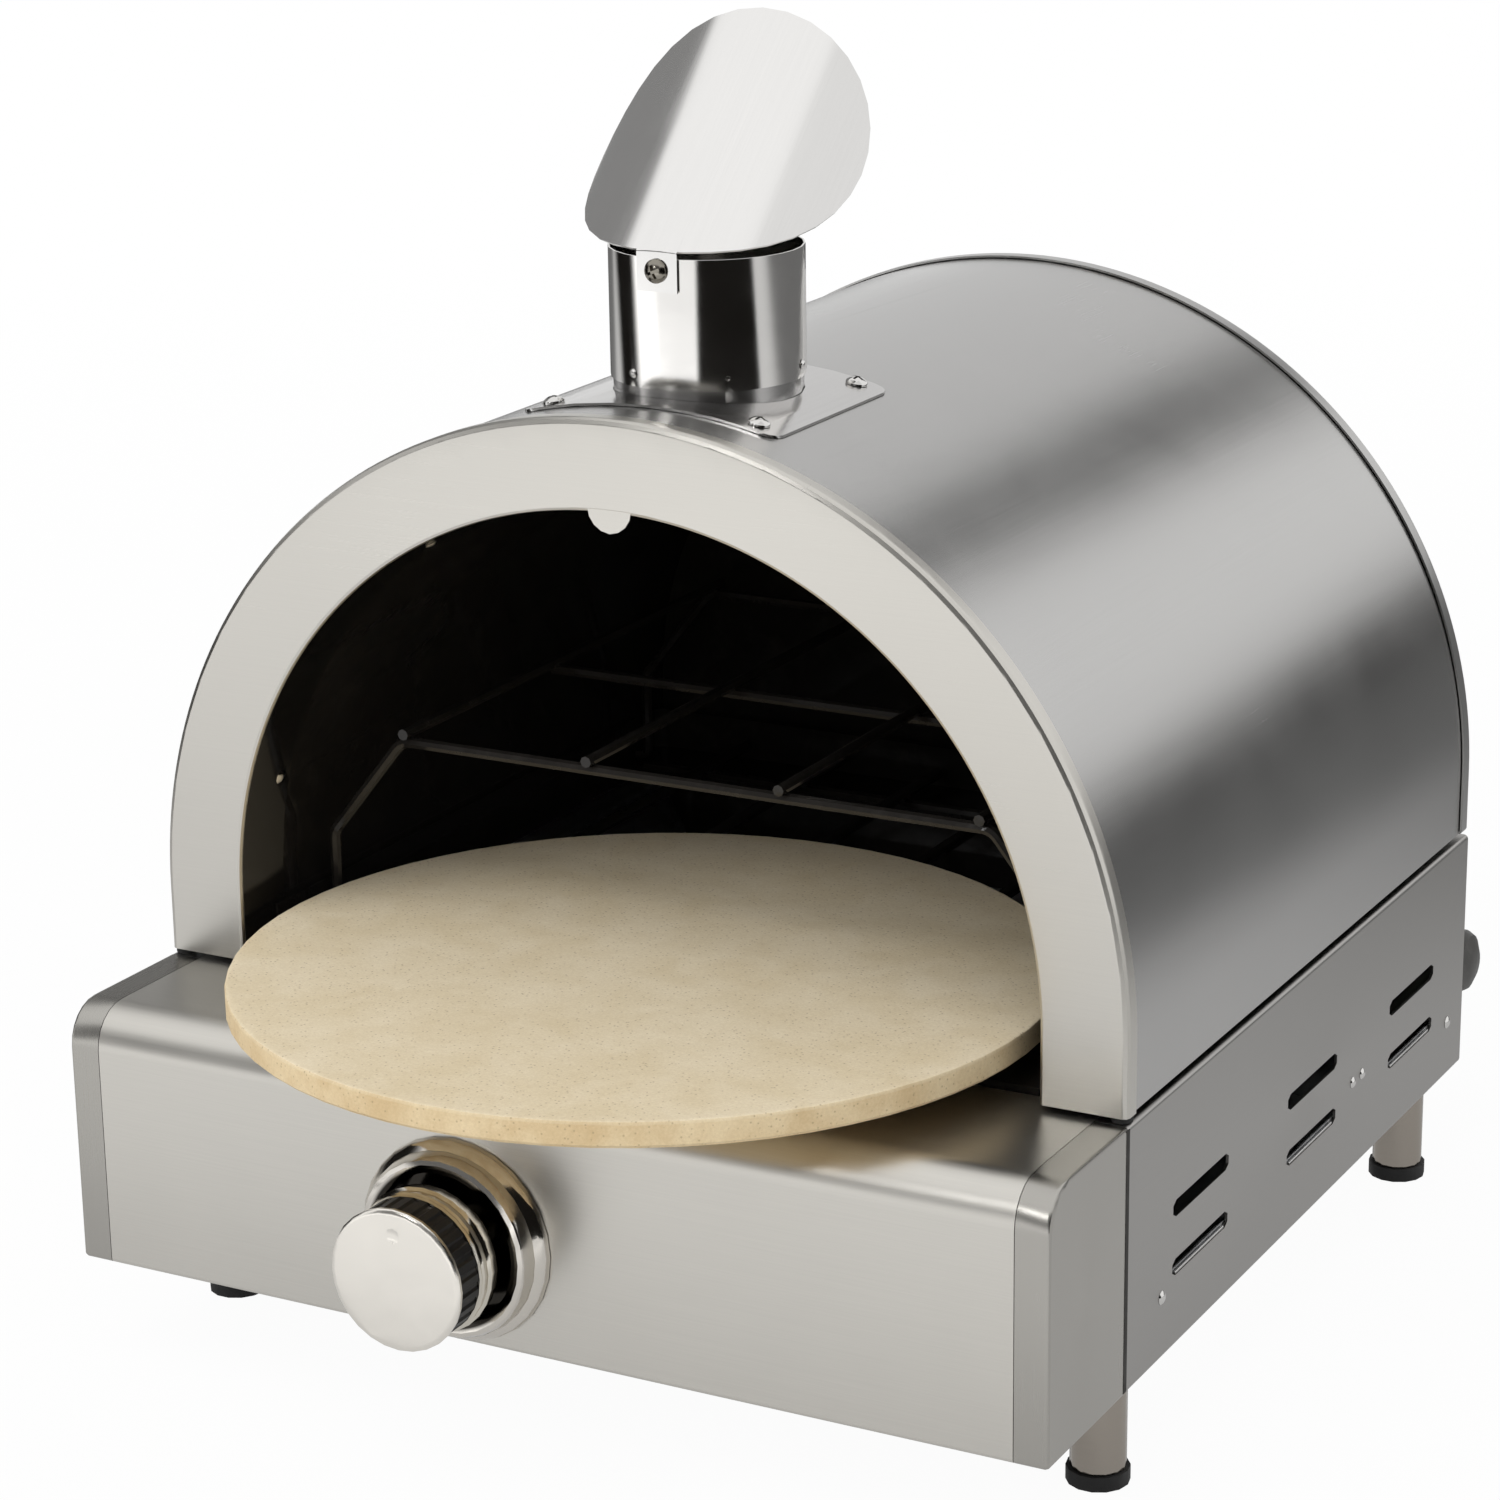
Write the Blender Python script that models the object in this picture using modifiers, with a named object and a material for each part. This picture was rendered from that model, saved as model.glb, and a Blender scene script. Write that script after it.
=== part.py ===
"""Gas pizza oven: a brushed steel hood hinged on a burner base, at real size in metres.

X runs to the right, the mouth faces -Y and Z is up. Pieces are placed in the oven's own
frame: its zero lies on the deck, the top of the side panels, in the middle of the hood's
front face. That frame stands on the floor under the middle of the whole oven.
"""

import math

import bmesh
import bpy
from mathutils import Matrix, Vector

# Overall sizes; the stone's radius sets the mouth, the hood and the base round it
stone_radius = 0.165
stone_side_gap = 0.0136
ring_width = 0.0359
deck_margin = 0.0005
hood_depth = 0.382
console_depth = 0.070
base_height = 0.1085
foot_height = 0.0435

# Distance at which coinciding points merge
merge_distance = 0.00001

# Sheet thicknesses and clearances
panel_sheet = 0.0012
hood_sheet = 0.0010
rim_sheet = 0.0009
tray_sheet = 0.0008
enamel_sheet = 0.0010
seat_gap = 0.0003
cut_overrun = 0.004
bend_radius = 0.002
weld_sink = 0.0005

# Side panels, with two rows of air slots
deck_overlap = 0.004
foot_flange = 0.020
side_screw_rise = 0.026
slot_length = 0.057
slot_height = 0.007
slot_first = 0.0725
slot_last = 0.0695
slot_columns = 3
slot_rise = 0.0335
slot_row_pitch = 0.0245

# Base tray and back panel
tray_wall = 0.0305
tray_inset = 0.003
vent_length = 0.050
vent_height = 0.008
vent_columns = 4
vent_side_inset = 0.0875
vent_row_inset = 0.111
back_flange = 0.030

# Console, a bent fascia between two pressed end caps
console_radius = 0.017
console_lip = 0.015
console_lip_drop = 0.006
console_foot = 0.050
end_band = 0.0137
end_edge_radius = 0.0016

# Feet
foot_radius = 0.011
foot_wall = 0.0010
foot_side_inset = 0.016
foot_front = 0.0125
foot_rear_inset = 0.035
pad_radius = 0.0125
pad_height = 0.006
pad_plug = 0.010
foot_steps = 14

# Firebox, an enamelled pan under the stone
firebox_hood_gap = 0.0016
firebox_rear_gap = 0.011
firebox_ledge = 0.027
firebox_draft = 0.004
firebox_drop = 0.020
firebox_upstand = 0.020
firebox_lip = 0.005
firebox_outer_radius = 0.006
firebox_inner_radius = 0.010
stay_width = 0.024
stay_flange = 0.015
stay_tray_gap = 0.001
stay_rear_inset = 0.136
stay_rivet_pitch = 0.0113

# Gas train and igniter
knob_x = -0.034
knob_rise = 0.0435
valve_half = 0.011
valve_length = 0.032
valve_bore_clearance = 0.0004
valve_bore_spare = 0.006
igniter_radius = 0.009
igniter_drop = 0.017
nozzle_radius = 0.004
nozzle_length = 0.010
burner_radius = 0.010
nozzle_gap = 0.0025
burner_spread = 0.085
burner_bend_start = 0.075
burner_bend_end = 0.125
burner_rear_gap = 0.041
burner_front = 0.090
burner_bend_radius = 0.030
burner_bend_steps = 4
burner_bracket_place = 0.200
burner_bracket_width = 0.012
burner_bracket_foot = 0.012
pipe_radius = 0.004
pipe_side_inset = 0.095
pipe_drop = 0.009
pipe_front = 0.018
pipe_bend = 0.012
inlet_radius = 0.0085
inlet_thread_radius = 0.0064
inlet_length = 0.022
inlet_nut_radius = 0.0115
inlet_nut_length = 0.007
electrode_x = -0.066
electrode_rise = 0.015
electrode_radius = 0.0032
electrode_length = 0.030
electrode_tip = 0.012
electrode_tip_radius = 0.0010
wire_radius = 0.0012
wire_bend = 0.004
wire_lead = 0.008

# Heat deflector over the burner
deflector_tab = 0.010
deflector_drop = 0.025
deflector_slope = 0.014
deflector_side_gap = 0.004
deflector_front = 0.085
deflector_rear_gap = 0.051

# Wire support that the stone rests on
support_radius = 0.00275
support_side_gap = 0.017
support_front_bar = 0.062
support_rear_bar_gap = 0.041
support_front = -0.004
support_rear_gap = 0.006
support_end = 0.035
support_bars = 6

# Stone, drawn part way out as the oven is shown
stone_thickness = 0.0108
stone_edge = 0.0015
stone_place = 0.021

# Warming rack
rack_radius = 0.0024
rack_front = 0.055
rack_rear_gap = 0.035
rack_middle_share = 0.46
rack_height = 0.0873
rack_side_gap = 0.0085
rack_splay = 0.035
rack_knee = 0.044
rack_foot = 0.006
rack_foot_bend = 0.0035
rack_bend = 0.008
rack_overhang = 0.0045
rack_bar_inset = 0.0035
rack_bar_inner = 0.0435

# Hood
arch_height = 0.0307
hood_lift = 0.0025
rim_depth = 0.008
rim_radius = 0.0025
mouth_flange = 0.031
mouth_edge_radius = 0.0015
rim_gap = 0.0004
arch_steps = 28
tab_half = 0.0095
tab_drop = 0.008
tab_bite = 0.006
tab_steps = 8
tab_inset = 0.0001
liner_front = 0.008
liner_bottom = 0.008
liner_rear_gap = 0.030
liner_back_rim = 0.010
liner_rivet_inset = 0.0065

# Chimney
flue_y = 0.079
flue_radius = 0.0382
flue_wall = 0.0007
flue_bottom_rise = 0.0033
flue_stand = 0.0538
collar_wall = 0.0008
collar_rise = 0.0125
saddle_front_margin = 0.0118
saddle_rear_margin = 0.0078
saddle_side_margin = 0.0178
saddle_corner = 0.006
saddle_screw_side_inset = 0.0115
saddle_screw_inset = 0.0075
saddle_steps = 8
flue_steps = 28
flue_rivet_rise = 0.0050
flue_rivet_count = 6
flue_rivet_start = math.radians(10)

# Rain cap, an oval disc bent about a line that leans back
cap_tilt = math.radians(42.7)
cap_half_width = 0.063
cap_half_length = 0.0598
cap_bend = 0.082
cap_front_rise = 0.0033
cap_steps = 36
cap_tab_half = 0.00875
cap_tab_length = 0.0155
cap_tab_grip = 0.009
cap_tab_sink = 0.0001
cap_tab_sheet = 0.0008
cap_tab_steps = 4
cap_screw_drop = 0.0077

# Knob
bezel_radius = 0.0415
bezel_height = 0.0125
bezel_crest = 0.0034
bezel_hole = 0.0155
knob_gap = 0.004
skirt_height = 0.0296
skirt_radius = 0.0297
skirt_core_radius = 0.0222
skirt_shell = 0.0035
skirt_roof = 0.0036
skirt_boss_radius = 0.0085
skirt_rise = 0.0020
grip_height = 0.0120
grip_radius = 0.0280
grip_ribs = 28
grip_rib_depth = 0.0009
face_radius = 0.0288
face_height = 0.0028
face_edge = 0.0008
mark_radius = 0.0032
mark_place = 0.0185
mark_depth = 0.0006
stem_radius = 0.0040
stem_cover = 0.0029
stem_tail = 0.012
stem_hole = 0.0075
knob_steps = 28
# Radius and height shares of the bezel's outline, from its crest down its outer side
bezel_shares = (
    (0.8285, 1.0), (0.87, 0.94), (0.905, 0.72), (0.915, 0.46), (0.96, 0.34), (0.99, 0.24), (1.0, 0.12),
)
# Radius and height shares of the skirt's grooved outer side, top to bottom
skirt_shares = (
    (0.95, 1.0), (0.965, 0.965), (0.95, 0.93), (0.97, 0.90), (0.965, 0.82), (1.0, 0.78),
)
# Turn and depth shares of one rib of the grip
rib_shares = ((0.0, 0.0), (0.45, 0.0), (0.6, 1.0), (0.85, 1.0))

# Hinges
hinge_inset = 0.085
hinge_width = 0.050
hinge_barrel = 0.0042
hinge_sheet = 0.0016
hinge_leaf = 0.026
hinge_knuckle = 0.0125
hinge_pin_radius = 0.0019
hinge_bore = 0.0022
hinge_pin_head = 0.0032
hinge_pin_head_height = 0.0012
hinge_leaf_clearance = 0.0006
hinge_steps = 10

# Rear handle
grip_bar_radius = 0.0145
grip_bar_inset = 0.0105
grip_bar_dome = 0.0065
grip_bar_steps = 20
handle_standoff = 0.032
handle_rise = 0.0365
arm_inset = 0.029
arm_half = 0.011
arm_sheet = 0.003
arm_bend = 0.0045
arm_foot = 0.017
arm_overhang = 0.006
arm_screw_offset = 0.0055
arm_screw_drop = 0.0105

# Fasteners and their holes
screw_head = 0.0044
screw_head_height = 0.0030
screw_shank = 0.0017
screw_length = 0.006
screw_hole = 0.0021
flue_rivet_hole = 0.0011
rivet_hole = 0.0015
drill_reach = 0.009
drill_overrun = 0.003
screw_steps = 8
screw_head_steps = 12
bumper_radius = 0.0042
bumper_inset = 0.0004
bumper_steps = 12

# Derived sizes
mouth_radius = stone_radius + stone_side_gap
hood_radius = mouth_radius + ring_width
half_width = hood_radius + deck_margin
liner_rear = hood_depth - liner_rear_gap
knob_depth = base_height - knob_rise
handle_depth = base_height - handle_rise
side_screw_depth = base_height - side_screw_rise
slot_lower_depth = base_height - slot_rise
slot_upper_depth = slot_lower_depth - slot_row_pitch
slot_pitch = (hood_depth - slot_first - slot_last) / (slot_columns - 1)
vent_pitch = 2 * (half_width - vent_side_inset) / (vent_columns - 1)
vent_row_offset = hood_depth / 2 - vent_row_inset
foot_x = half_width - foot_side_inset
foot_rear = hood_depth - foot_rear_inset
firebox_half = mouth_radius - firebox_hood_gap
firebox_rear = liner_rear - firebox_rear_gap
firebox_depth = knob_depth + firebox_drop
deck_flange = half_width - firebox_half + deck_overlap
stay_place = hood_depth - stay_rear_inset
stay_depth = base_height - panel_sheet - seat_gap - tray_wall - stay_tray_gap
stay_rivet_depth = stay_depth - stay_flange / 2
valve_front = panel_sheet + seat_gap
burner_start = console_depth - valve_front - valve_length - nozzle_length - nozzle_gap
burner_rear = firebox_rear - burner_rear_gap
pipe_x = half_width - pipe_side_inset
pipe_depth = firebox_depth + pipe_drop
electrode_depth = knob_depth - electrode_rise
deflector_rear = firebox_rear - deflector_rear_gap
support_reach = firebox_half - support_side_gap
support_rear_bar = firebox_rear - support_rear_bar_gap
support_rear = firebox_rear - support_rear_gap
support_span = support_reach - support_end
liner_rivet_place = mouth_flange - liner_rivet_inset
rack_leg = firebox_half - rack_side_gap
rack_half = rack_leg - rack_splay
rack_length = liner_rear - rack_rear_gap - rack_front
saddle_front = flue_y - flue_radius - saddle_front_margin
saddle_rear = flue_y + flue_radius + saddle_rear_margin
saddle_half = flue_radius + saddle_side_margin
saddle_screw_x = saddle_half - saddle_screw_side_inset
bezel_bore = bezel_radius * bezel_shares[0][0] - bezel_crest
knob_start = bezel_height + knob_gap
stem_tip = skirt_height + seat_gap + grip_height - stem_cover
valve_bore = stem_radius + valve_bore_clearance
valve_bore_depth = stem_tail + valve_bore_spare
hinge_x = half_width - hinge_inset
grip_bar_half = half_width - grip_bar_inset
arm_x = half_width - arm_inset

# Derived places
reach_front = stone_place - stone_radius
reach_rear = hood_depth + handle_standoff + grip_bar_radius
frame_place = Vector((0, -(reach_front + reach_rear) / 2, foot_height + base_height))
ledge_top = seat_gap + enamel_sheet
support_lower = ledge_top + seat_gap + support_radius
support_upper = support_lower + 2 * support_radius - weld_sink
stone_bottom = support_upper + support_radius + seat_gap
skin_radius = hood_radius - rim_sheet - rim_gap
saddle_radius = skin_radius + seat_gap + hood_sheet
liner_radius = mouth_radius + rim_sheet + seat_gap
collar_radius = flue_radius - flue_wall - seat_gap
console_half = half_width - end_band - seat_gap
firebox_front = console_lip + bend_radius + seat_gap
hinge_y = hood_depth + seat_gap + hinge_barrel
knob_front = skirt_height + seat_gap + grip_height + seat_gap
wall_inner = half_width - panel_sheet
tray_half = wall_inner - seat_gap
tray_bottom = -base_height + panel_sheet + seat_gap
back_half = tray_half - tray_sheet - seat_gap
handle_y = hood_depth + handle_standoff

# Angles of the rivets round the mouth, as shares of the half circle
mouth_rivet_shares = (0.08, 0.32, 0.68, 0.92)
# Front to rear places of the lower screws of a side panel, as shares of the hood's depth
side_screw_shares = (0.090, 0.948)


# Scene set-up

for old in list(bpy.data.objects):
    bpy.data.objects.remove(old, do_unlink=True)

parts = bpy.data.collections.new("pizza_oven")
cutters = bpy.data.collections.new("cutters")
bpy.context.scene.collection.children.link(parts)
bpy.context.scene.collection.children.link(cutters)


def finish(name, colour, roughness, metallic=0.0):
    """A Principled material."""
    material = bpy.data.materials.new(name)
    material.use_nodes = True
    shader = material.node_tree.nodes["Principled BSDF"]
    shader.inputs["Base Color"].default_value = (*colour, 1.0)
    shader.inputs["Roughness"].default_value = roughness
    shader.inputs["Metallic"].default_value = metallic
    return material


BRUSHED = ((0.62, 0.60, 0.57), 0.34, 1.0)
SATIN = ((0.70, 0.69, 0.67), 0.28, 1.0)
POLISHED = ((0.80, 0.78, 0.75), 0.10, 1.0)
ENAMEL = ((0.012, 0.011, 0.010), 0.12)
GALVANISED = ((0.55, 0.56, 0.57), 0.42, 1.0)
BRASS = ((0.72, 0.56, 0.30), 0.30, 1.0)
RUBBER = ((0.018, 0.018, 0.018), 0.75)
BLACK_PLASTIC = ((0.012, 0.012, 0.013), 0.38)
GREY_PLASTIC = ((0.085, 0.083, 0.078), 0.42)
CERAMIC = ((0.86, 0.84, 0.78), 0.35)
STONE = ((0.72, 0.58, 0.40), 0.85)


def pivot(name, place, parent=None):
    """An empty at a place in the oven's frame."""
    empty = bpy.data.objects.new(name, None)
    parts.objects.link(empty)
    empty["place"] = tuple(place)
    empty.parent = parent
    empty.location = Vector(place) - (Vector(parent["place"]) if parent else Vector())
    return empty


def carry(obj, carrier, place):
    """Parent an object to an empty and put it at a place in the oven's frame."""
    obj.parent = carrier
    obj.location = Vector(place) - Vector(carrier["place"])


def piece(name, data, look, carrier, place=(0, 0, 0), turn=(0, 0, 0)):
    """A named piece with its own material, placed in the oven's frame."""
    obj = bpy.data.objects.new(name, data)
    parts.objects.link(obj)
    obj.rotation_euler = turn
    if not data.materials:
        data.materials.append(finish(name, *look))
    carry(obj, carrier, place)
    return obj


def cutter(name, bm, carrier, place=(0, 0, 0), turn=(0, 0, 0)):
    """A hidden solid that only cuts."""
    obj = bpy.data.objects.new(name, as_mesh(bm, name))
    cutters.objects.link(obj)
    obj.rotation_euler = turn
    obj.hide_render = True
    obj.display_type = "WIRE"
    carry(obj, carrier, place)
    return obj


def as_mesh(bm, name):
    """Turn a bmesh into a mesh."""
    mesh = bpy.data.meshes.new(name)
    bm.to_mesh(mesh)
    bm.free()
    return mesh


def smooth(obj, angle=math.radians(35)):
    """Shade a mesh smooth, apart from edges sharper than an angle."""
    obj.data.shade_smooth()
    obj.data.set_sharp_from_angle(angle=angle)
    return obj


def combine(obj, other, operation):
    """Cut one solid by another, or join them."""
    modifier = obj.modifiers.new(other.name, "BOOLEAN")
    modifier.operation = operation
    modifier.solver = "EXACT"
    modifier.object = other
    return obj


def solidify(obj, thickness):
    """Give an open surface its thickness, behind its outer face."""
    modifier = obj.modifiers.new("sheet", "SOLIDIFY")
    modifier.thickness = thickness
    modifier.offset = -1
    modifier.use_even_offset = True
    return obj


# Outlines and paths

def arc(centre, radius, start, end, steps):
    """Points of an arc in a plane, angles in degrees."""
    angles = (math.radians(start + (end - start) * i / steps) for i in range(steps + 1))
    return [(centre[0] + radius * math.cos(a), centre[1] + radius * math.sin(a)) for a in angles]


def circle(radius, steps, centre=(0, 0)):
    """Points of a full circle."""
    return arc(centre, radius, 0, 360, steps)[:-1]


def capsule(length, height, centre=(0, 0), steps=3):
    """A slot's outline with round ends."""
    reach = (length - height) / 2
    right = arc((centre[0] + reach, centre[1]), height / 2, -90, 90, steps)
    left = arc((centre[0] - reach, centre[1]), height / 2, 90, 270, steps)
    return right + left


def round_box(left, right, low, high, radius, steps=3):
    """A rectangle with rounded corners."""
    corners = ((right, high, 0), (left, high, 90), (left, low, 180), (right, low, 270))
    points = []
    for x, y, start in corners:
        centre = (x - math.copysign(radius, x - left - radius), y - math.copysign(radius, y - low - radius))
        points += arc(centre, radius, start, start + 90, steps)
    return points


def rounded(points, radii, steps=3):
    """A path in space whose inner corners are rounded."""
    path = [Vector(p) for p in points]
    if not isinstance(radii, (list, tuple)):
        radii = [radii] * (len(path) - 2)
    result = [path[0]]
    for before, corner, after, radius in zip(path, path[1:], path[2:], radii):
        back = (before - corner).normalized()
        ahead = (after - corner).normalized()
        turn = back.angle(ahead)
        centre = corner + (back + ahead).normalized() * radius / math.sin(turn / 2)
        start = corner + back * radius / math.tan(turn / 2) - centre
        end = corner + ahead * radius / math.tan(turn / 2) - centre
        axis = start.cross(end)
        for i in range(steps + 1):
            swing = Matrix.Rotation((math.pi - turn) * i / steps, 3, axis)
            result.append(centre + swing @ start)
    return result + [path[-1]]


def arch(radius, leg, steps=arch_steps):
    """A half circle on two straight legs, right foot to left foot, in x and z."""
    return [(radius, -leg)] + arc((0, 0), radius, 0, 180, steps) + [(-radius, -leg)]


# Solids

def face_out(bm, direction, near):
    """Turn an open surface so that its face nearest a point looks along a direction."""
    bmesh.ops.recalc_face_normals(bm, faces=bm.faces)
    bm.normal_update()
    face = min(bm.faces, key=lambda f: (f.calc_center_median() - Vector(near)).length)
    if face.normal.dot(Vector(direction)) < 0:
        bmesh.ops.reverse_faces(bm, faces=bm.faces)


def draw_out(bm, edges, run):
    """Draw edges out along a run."""
    grown = bmesh.ops.extrude_edge_only(bm, edges=edges)["geom"]
    moved = [g for g in grown if isinstance(g, bmesh.types.BMVert)]
    bmesh.ops.translate(bm, verts=moved, vec=Vector(run))
    return [g for g in grown if isinstance(g, bmesh.types.BMEdge)]


def path_edges(bm, points):
    """Edges along a path."""
    verts = [bm.verts.new(p) for p in points]
    return [bm.edges.new(pair) for pair in zip(verts, verts[1:])]


def bent_sheet(name, look, path, run, thickness, outside, carrier, place=(0, 0, 0)):
    """A sheet bent along a path and drawn out straight; the path is its outer face."""
    bm = bmesh.new()
    draw_out(bm, path_edges(bm, path), run)
    near = (Vector(path[0]) + Vector(path[1]) + Vector(run)) / 2
    face_out(bm, outside, near)
    obj = piece(name, as_mesh(bm, name), look, carrier, place)
    return smooth(solidify(obj, thickness))


def prism(bm, outline, low, high):
    """Add a solid with a flat outline in x and y, from one height to another."""
    face = bm.faces.new([bm.verts.new((x, y, low)) for x, y in outline])
    grown = bmesh.ops.extrude_face_region(bm, geom=[face])["geom"]
    moved = [g for g in grown if isinstance(g, bmesh.types.BMVert)]
    bmesh.ops.translate(bm, verts=moved, vec=Vector((0, 0, high - low)))
    bmesh.ops.recalc_face_normals(bm, faces=bm.faces)


def punch(name, outlines, reach, carrier, place, turn=(0, 0, 0)):
    """A cutter for holes through a wall at its middle, each with its outline."""
    bm = bmesh.new()
    for outline in outlines:
        prism(bm, outline, -reach, reach)
    return cutter(name, bm, carrier, place, turn)


def block(low, high):
    """A box as a bmesh, from its lowest to its highest corner."""
    bm = bmesh.new()
    size = Vector(high) - Vector(low)
    matrix = Matrix.Translation((Vector(low) + Vector(high)) / 2) @ Matrix.Diagonal((*size, 1.0))
    bmesh.ops.create_cube(bm, size=1.0, matrix=matrix)
    return bm


def turned(name, look, profile, carrier, place=(0, 0, 0), turn=(0, 0, 0), steps=knob_steps, ring=False):
    """A solid turned about its own z from a profile of radius and height pairs."""
    bm = bmesh.new()
    verts = [bm.verts.new((r, 0, z)) for r, z in profile]
    pairs = list(zip(verts, verts[1:]))
    if ring:
        pairs.append((verts[-1], verts[0]))
    for pair in pairs:
        bm.edges.new(pair)
    obj = piece(name, as_mesh(bm, name), look, carrier, place, turn)
    modifier = obj.modifiers.new("turn", "SCREW")
    modifier.axis = "Z"
    modifier.steps = steps
    modifier.render_steps = steps
    modifier.use_merge_vertices = True
    modifier.merge_threshold = merge_distance
    modifier.use_smooth_shade = True
    return obj


def turn_into(bm, profile, matrix, steps=screw_steps):
    """Add a turned solid to a bmesh, its profile running from axis to axis or back to its start."""
    made = bmesh.new()
    edges = path_edges(made, [(r, 0, z) for r, z in profile])
    geometry = list(made.verts) + edges
    bmesh.ops.spin(made, geom=geometry, axis=(0, 0, 1), cent=(0, 0, 0), angle=math.tau, steps=steps)
    bmesh.ops.remove_doubles(made, verts=made.verts, dist=merge_distance)
    bmesh.ops.recalc_face_normals(made, faces=made.faces)
    bmesh.ops.transform(made, matrix=matrix, verts=made.verts)
    mesh = as_mesh(made, "turned")
    bm.from_mesh(mesh)
    bpy.data.meshes.remove(mesh)


def facing(place, outward):
    """The matrix that stands a turned solid at a place, its z looking outward."""
    return Matrix.Translation(place) @ Vector(outward).to_track_quat("Z", "Y").to_matrix().to_4x4()


def round_screw(name, look, seat, carrier):
    """A round-headed screw at its seat: the surface under its head and the way out."""
    crown = (screw_head * math.cos(math.pi / 4), seat_gap + screw_head_height * math.sin(math.pi / 4))
    profile = [
        (0, seat_gap + screw_head_height), crown, (screw_head, seat_gap), (screw_shank, seat_gap),
        (screw_shank, -screw_length), (0, -screw_length),
    ]
    place, outward = seat
    turn = Vector(outward).to_track_quat("Z", "Y").to_euler()
    return turned(name, look, profile, carrier, place, turn, steps=screw_head_steps)


def drill(name, seats, radius, carrier):
    """A cutter with a hole at each seat."""
    bm = bmesh.new()
    profile = [(0, drill_overrun), (radius, drill_overrun), (radius, -drill_reach), (0, -drill_reach)]
    for place, outward in seats:
        turn_into(bm, profile, facing(place, outward))
    return cutter(name, bm, carrier)


def cut_all(obj, *tools):
    """Cut a solid by several cutters."""
    for tool in tools:
        combine(obj, tool, "DIFFERENCE")
    return obj


def plate(name, look, outlines, thickness, carrier, place=(0, 0, 0), turn=(0, 0, 0)):
    """A flat plate from its outline and those of its holes, in its own x and y."""
    curve = bpy.data.curves.new(name, "CURVE")
    curve.dimensions = "2D"
    curve.fill_mode = "BOTH"
    curve.extrude = thickness / 2
    for outline in outlines:
        spline = curve.splines.new("POLY")
        spline.points.add(len(outline) - 1)
        for point, (x, y) in zip(spline.points, outline):
            point.co = (x, y, 0, 1)
        spline.use_cyclic_u = True
    return piece(name, curve, look, carrier, place, turn)


def wire_curve(name, paths, radius, resolution=2):
    """A curve of round wires along paths, each with closed ends."""
    curve = bpy.data.curves.new(name, "CURVE")
    curve.dimensions = "3D"
    curve.bevel_depth = radius
    curve.bevel_resolution = resolution
    curve.use_fill_caps = True
    for path in paths:
        spline = curve.splines.new("POLY")
        spline.points.add(len(path) - 1)
        for point, place in zip(spline.points, path):
            point.co = (*place, 1)
    return curve


def wire(name, look, path, radius, carrier, resolution=2):
    """A round wire or tube along a path."""
    return piece(name, wire_curve(name, [path], radius, resolution), look, carrier)


def wire_mesh(name, paths, radius):
    """Wires along paths as a welded mesh, so that they can be joined or cut."""
    curve = wire_curve(name, paths, radius)
    guide = bpy.data.objects.new(name, curve)
    cutters.objects.link(guide)
    bpy.context.view_layer.update()
    graph = bpy.context.evaluated_depsgraph_get()
    mesh = bpy.data.meshes.new_from_object(guide.evaluated_get(graph))
    bpy.data.objects.remove(guide)
    bpy.data.curves.remove(curve)
    bm = bmesh.new()
    bm.from_mesh(mesh)
    bpy.data.meshes.remove(mesh)
    bmesh.ops.remove_doubles(bm, verts=bm.verts, dist=merge_distance)
    return bm


def welded_rack(name, look, lower, upper, radius, carrier):
    """A wire rack: upper wires spot-welded across lower ones."""
    obj = smooth(piece(name, as_mesh(wire_mesh(name, lower, radius), name), look, carrier))
    return combine(obj, cutter(name + "_upper", wire_mesh(name, upper, radius), carrier), "UNION")


# Frames that carry the pieces: the fixed base and one for each moving body

base = pivot("oven_frame", (0, 0, 0))
base.location = frame_place
hood = pivot("hood_hinge", (0, hinge_y, 0), base)
knob_place = (knob_x, -console_depth, -knob_depth)
stem = pivot("stem_slide", knob_place, base)
knob = pivot("knob_axis", knob_place, stem)
stone = pivot("stone_slide", (0, stone_place, stone_bottom), base)
rack = pivot("rack_slide", (0, rack_front, ledge_top), base)


# Side panels

side_turn = (math.pi / 2, 0, math.pi / 2)
back_turn = (math.pi / 2, 0, 0)
rear_turn = (-math.pi / 2, 0, 0)
axle_turn = (0, math.pi / 2, 0)


def side_seats(side):
    """Seats of one side's screws."""
    places = [(share * hood_depth, -side_screw_depth) for share in side_screw_shares]
    places += [(stay_place + s * stay_rivet_pitch / 2, -stay_rivet_depth) for s in (-1, 1)]
    return [((side * half_width, y, z), (side, 0, 0)) for y, z in places]


def side_panel(name, side, screw_holes):
    """One side: a deck flange, the wall with its slots, and a flange over the feet."""
    inner_top = side * (half_width - deck_flange)
    inner_foot = side * (half_width - foot_flange)
    corners = [(inner_top, 0, 0), (side * half_width, 0, 0), (side * half_width, 0, -base_height)]
    path = rounded(corners + [(inner_foot, 0, -base_height)], bend_radius)
    obj = bent_sheet(name, BRUSHED, path, (0, hood_depth, 0), panel_sheet, (0, 0, 1), base)
    slots = []
    for column in range(slot_columns):
        for depth in (slot_upper_depth, slot_lower_depth):
            slots.append(capsule(slot_length, slot_height, (slot_first + column * slot_pitch, -depth)))
    slot_cut = punch(name + "_slots", slots, cut_overrun, base, (side * half_width, 0, 0), side_turn)
    low, high = sorted((side * (console_half + seat_gap), side * (half_width - deck_flange - cut_overrun)))
    notch = block((low, -cut_overrun, -cut_overrun), (high, console_lip + seat_gap, cut_overrun))
    return cut_all(obj, slot_cut, screw_holes, cutter(name + "_notch", notch, base))


holes_left = drill("side_holes_left", side_seats(-1), screw_hole, base)
holes_right = drill("side_holes_right", side_seats(1), screw_hole, base)
side_panel("side_panel_left", -1, holes_left)
side_panel("side_panel_right", 1, holes_right)


# Base tray, with air slots in its floor

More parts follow.
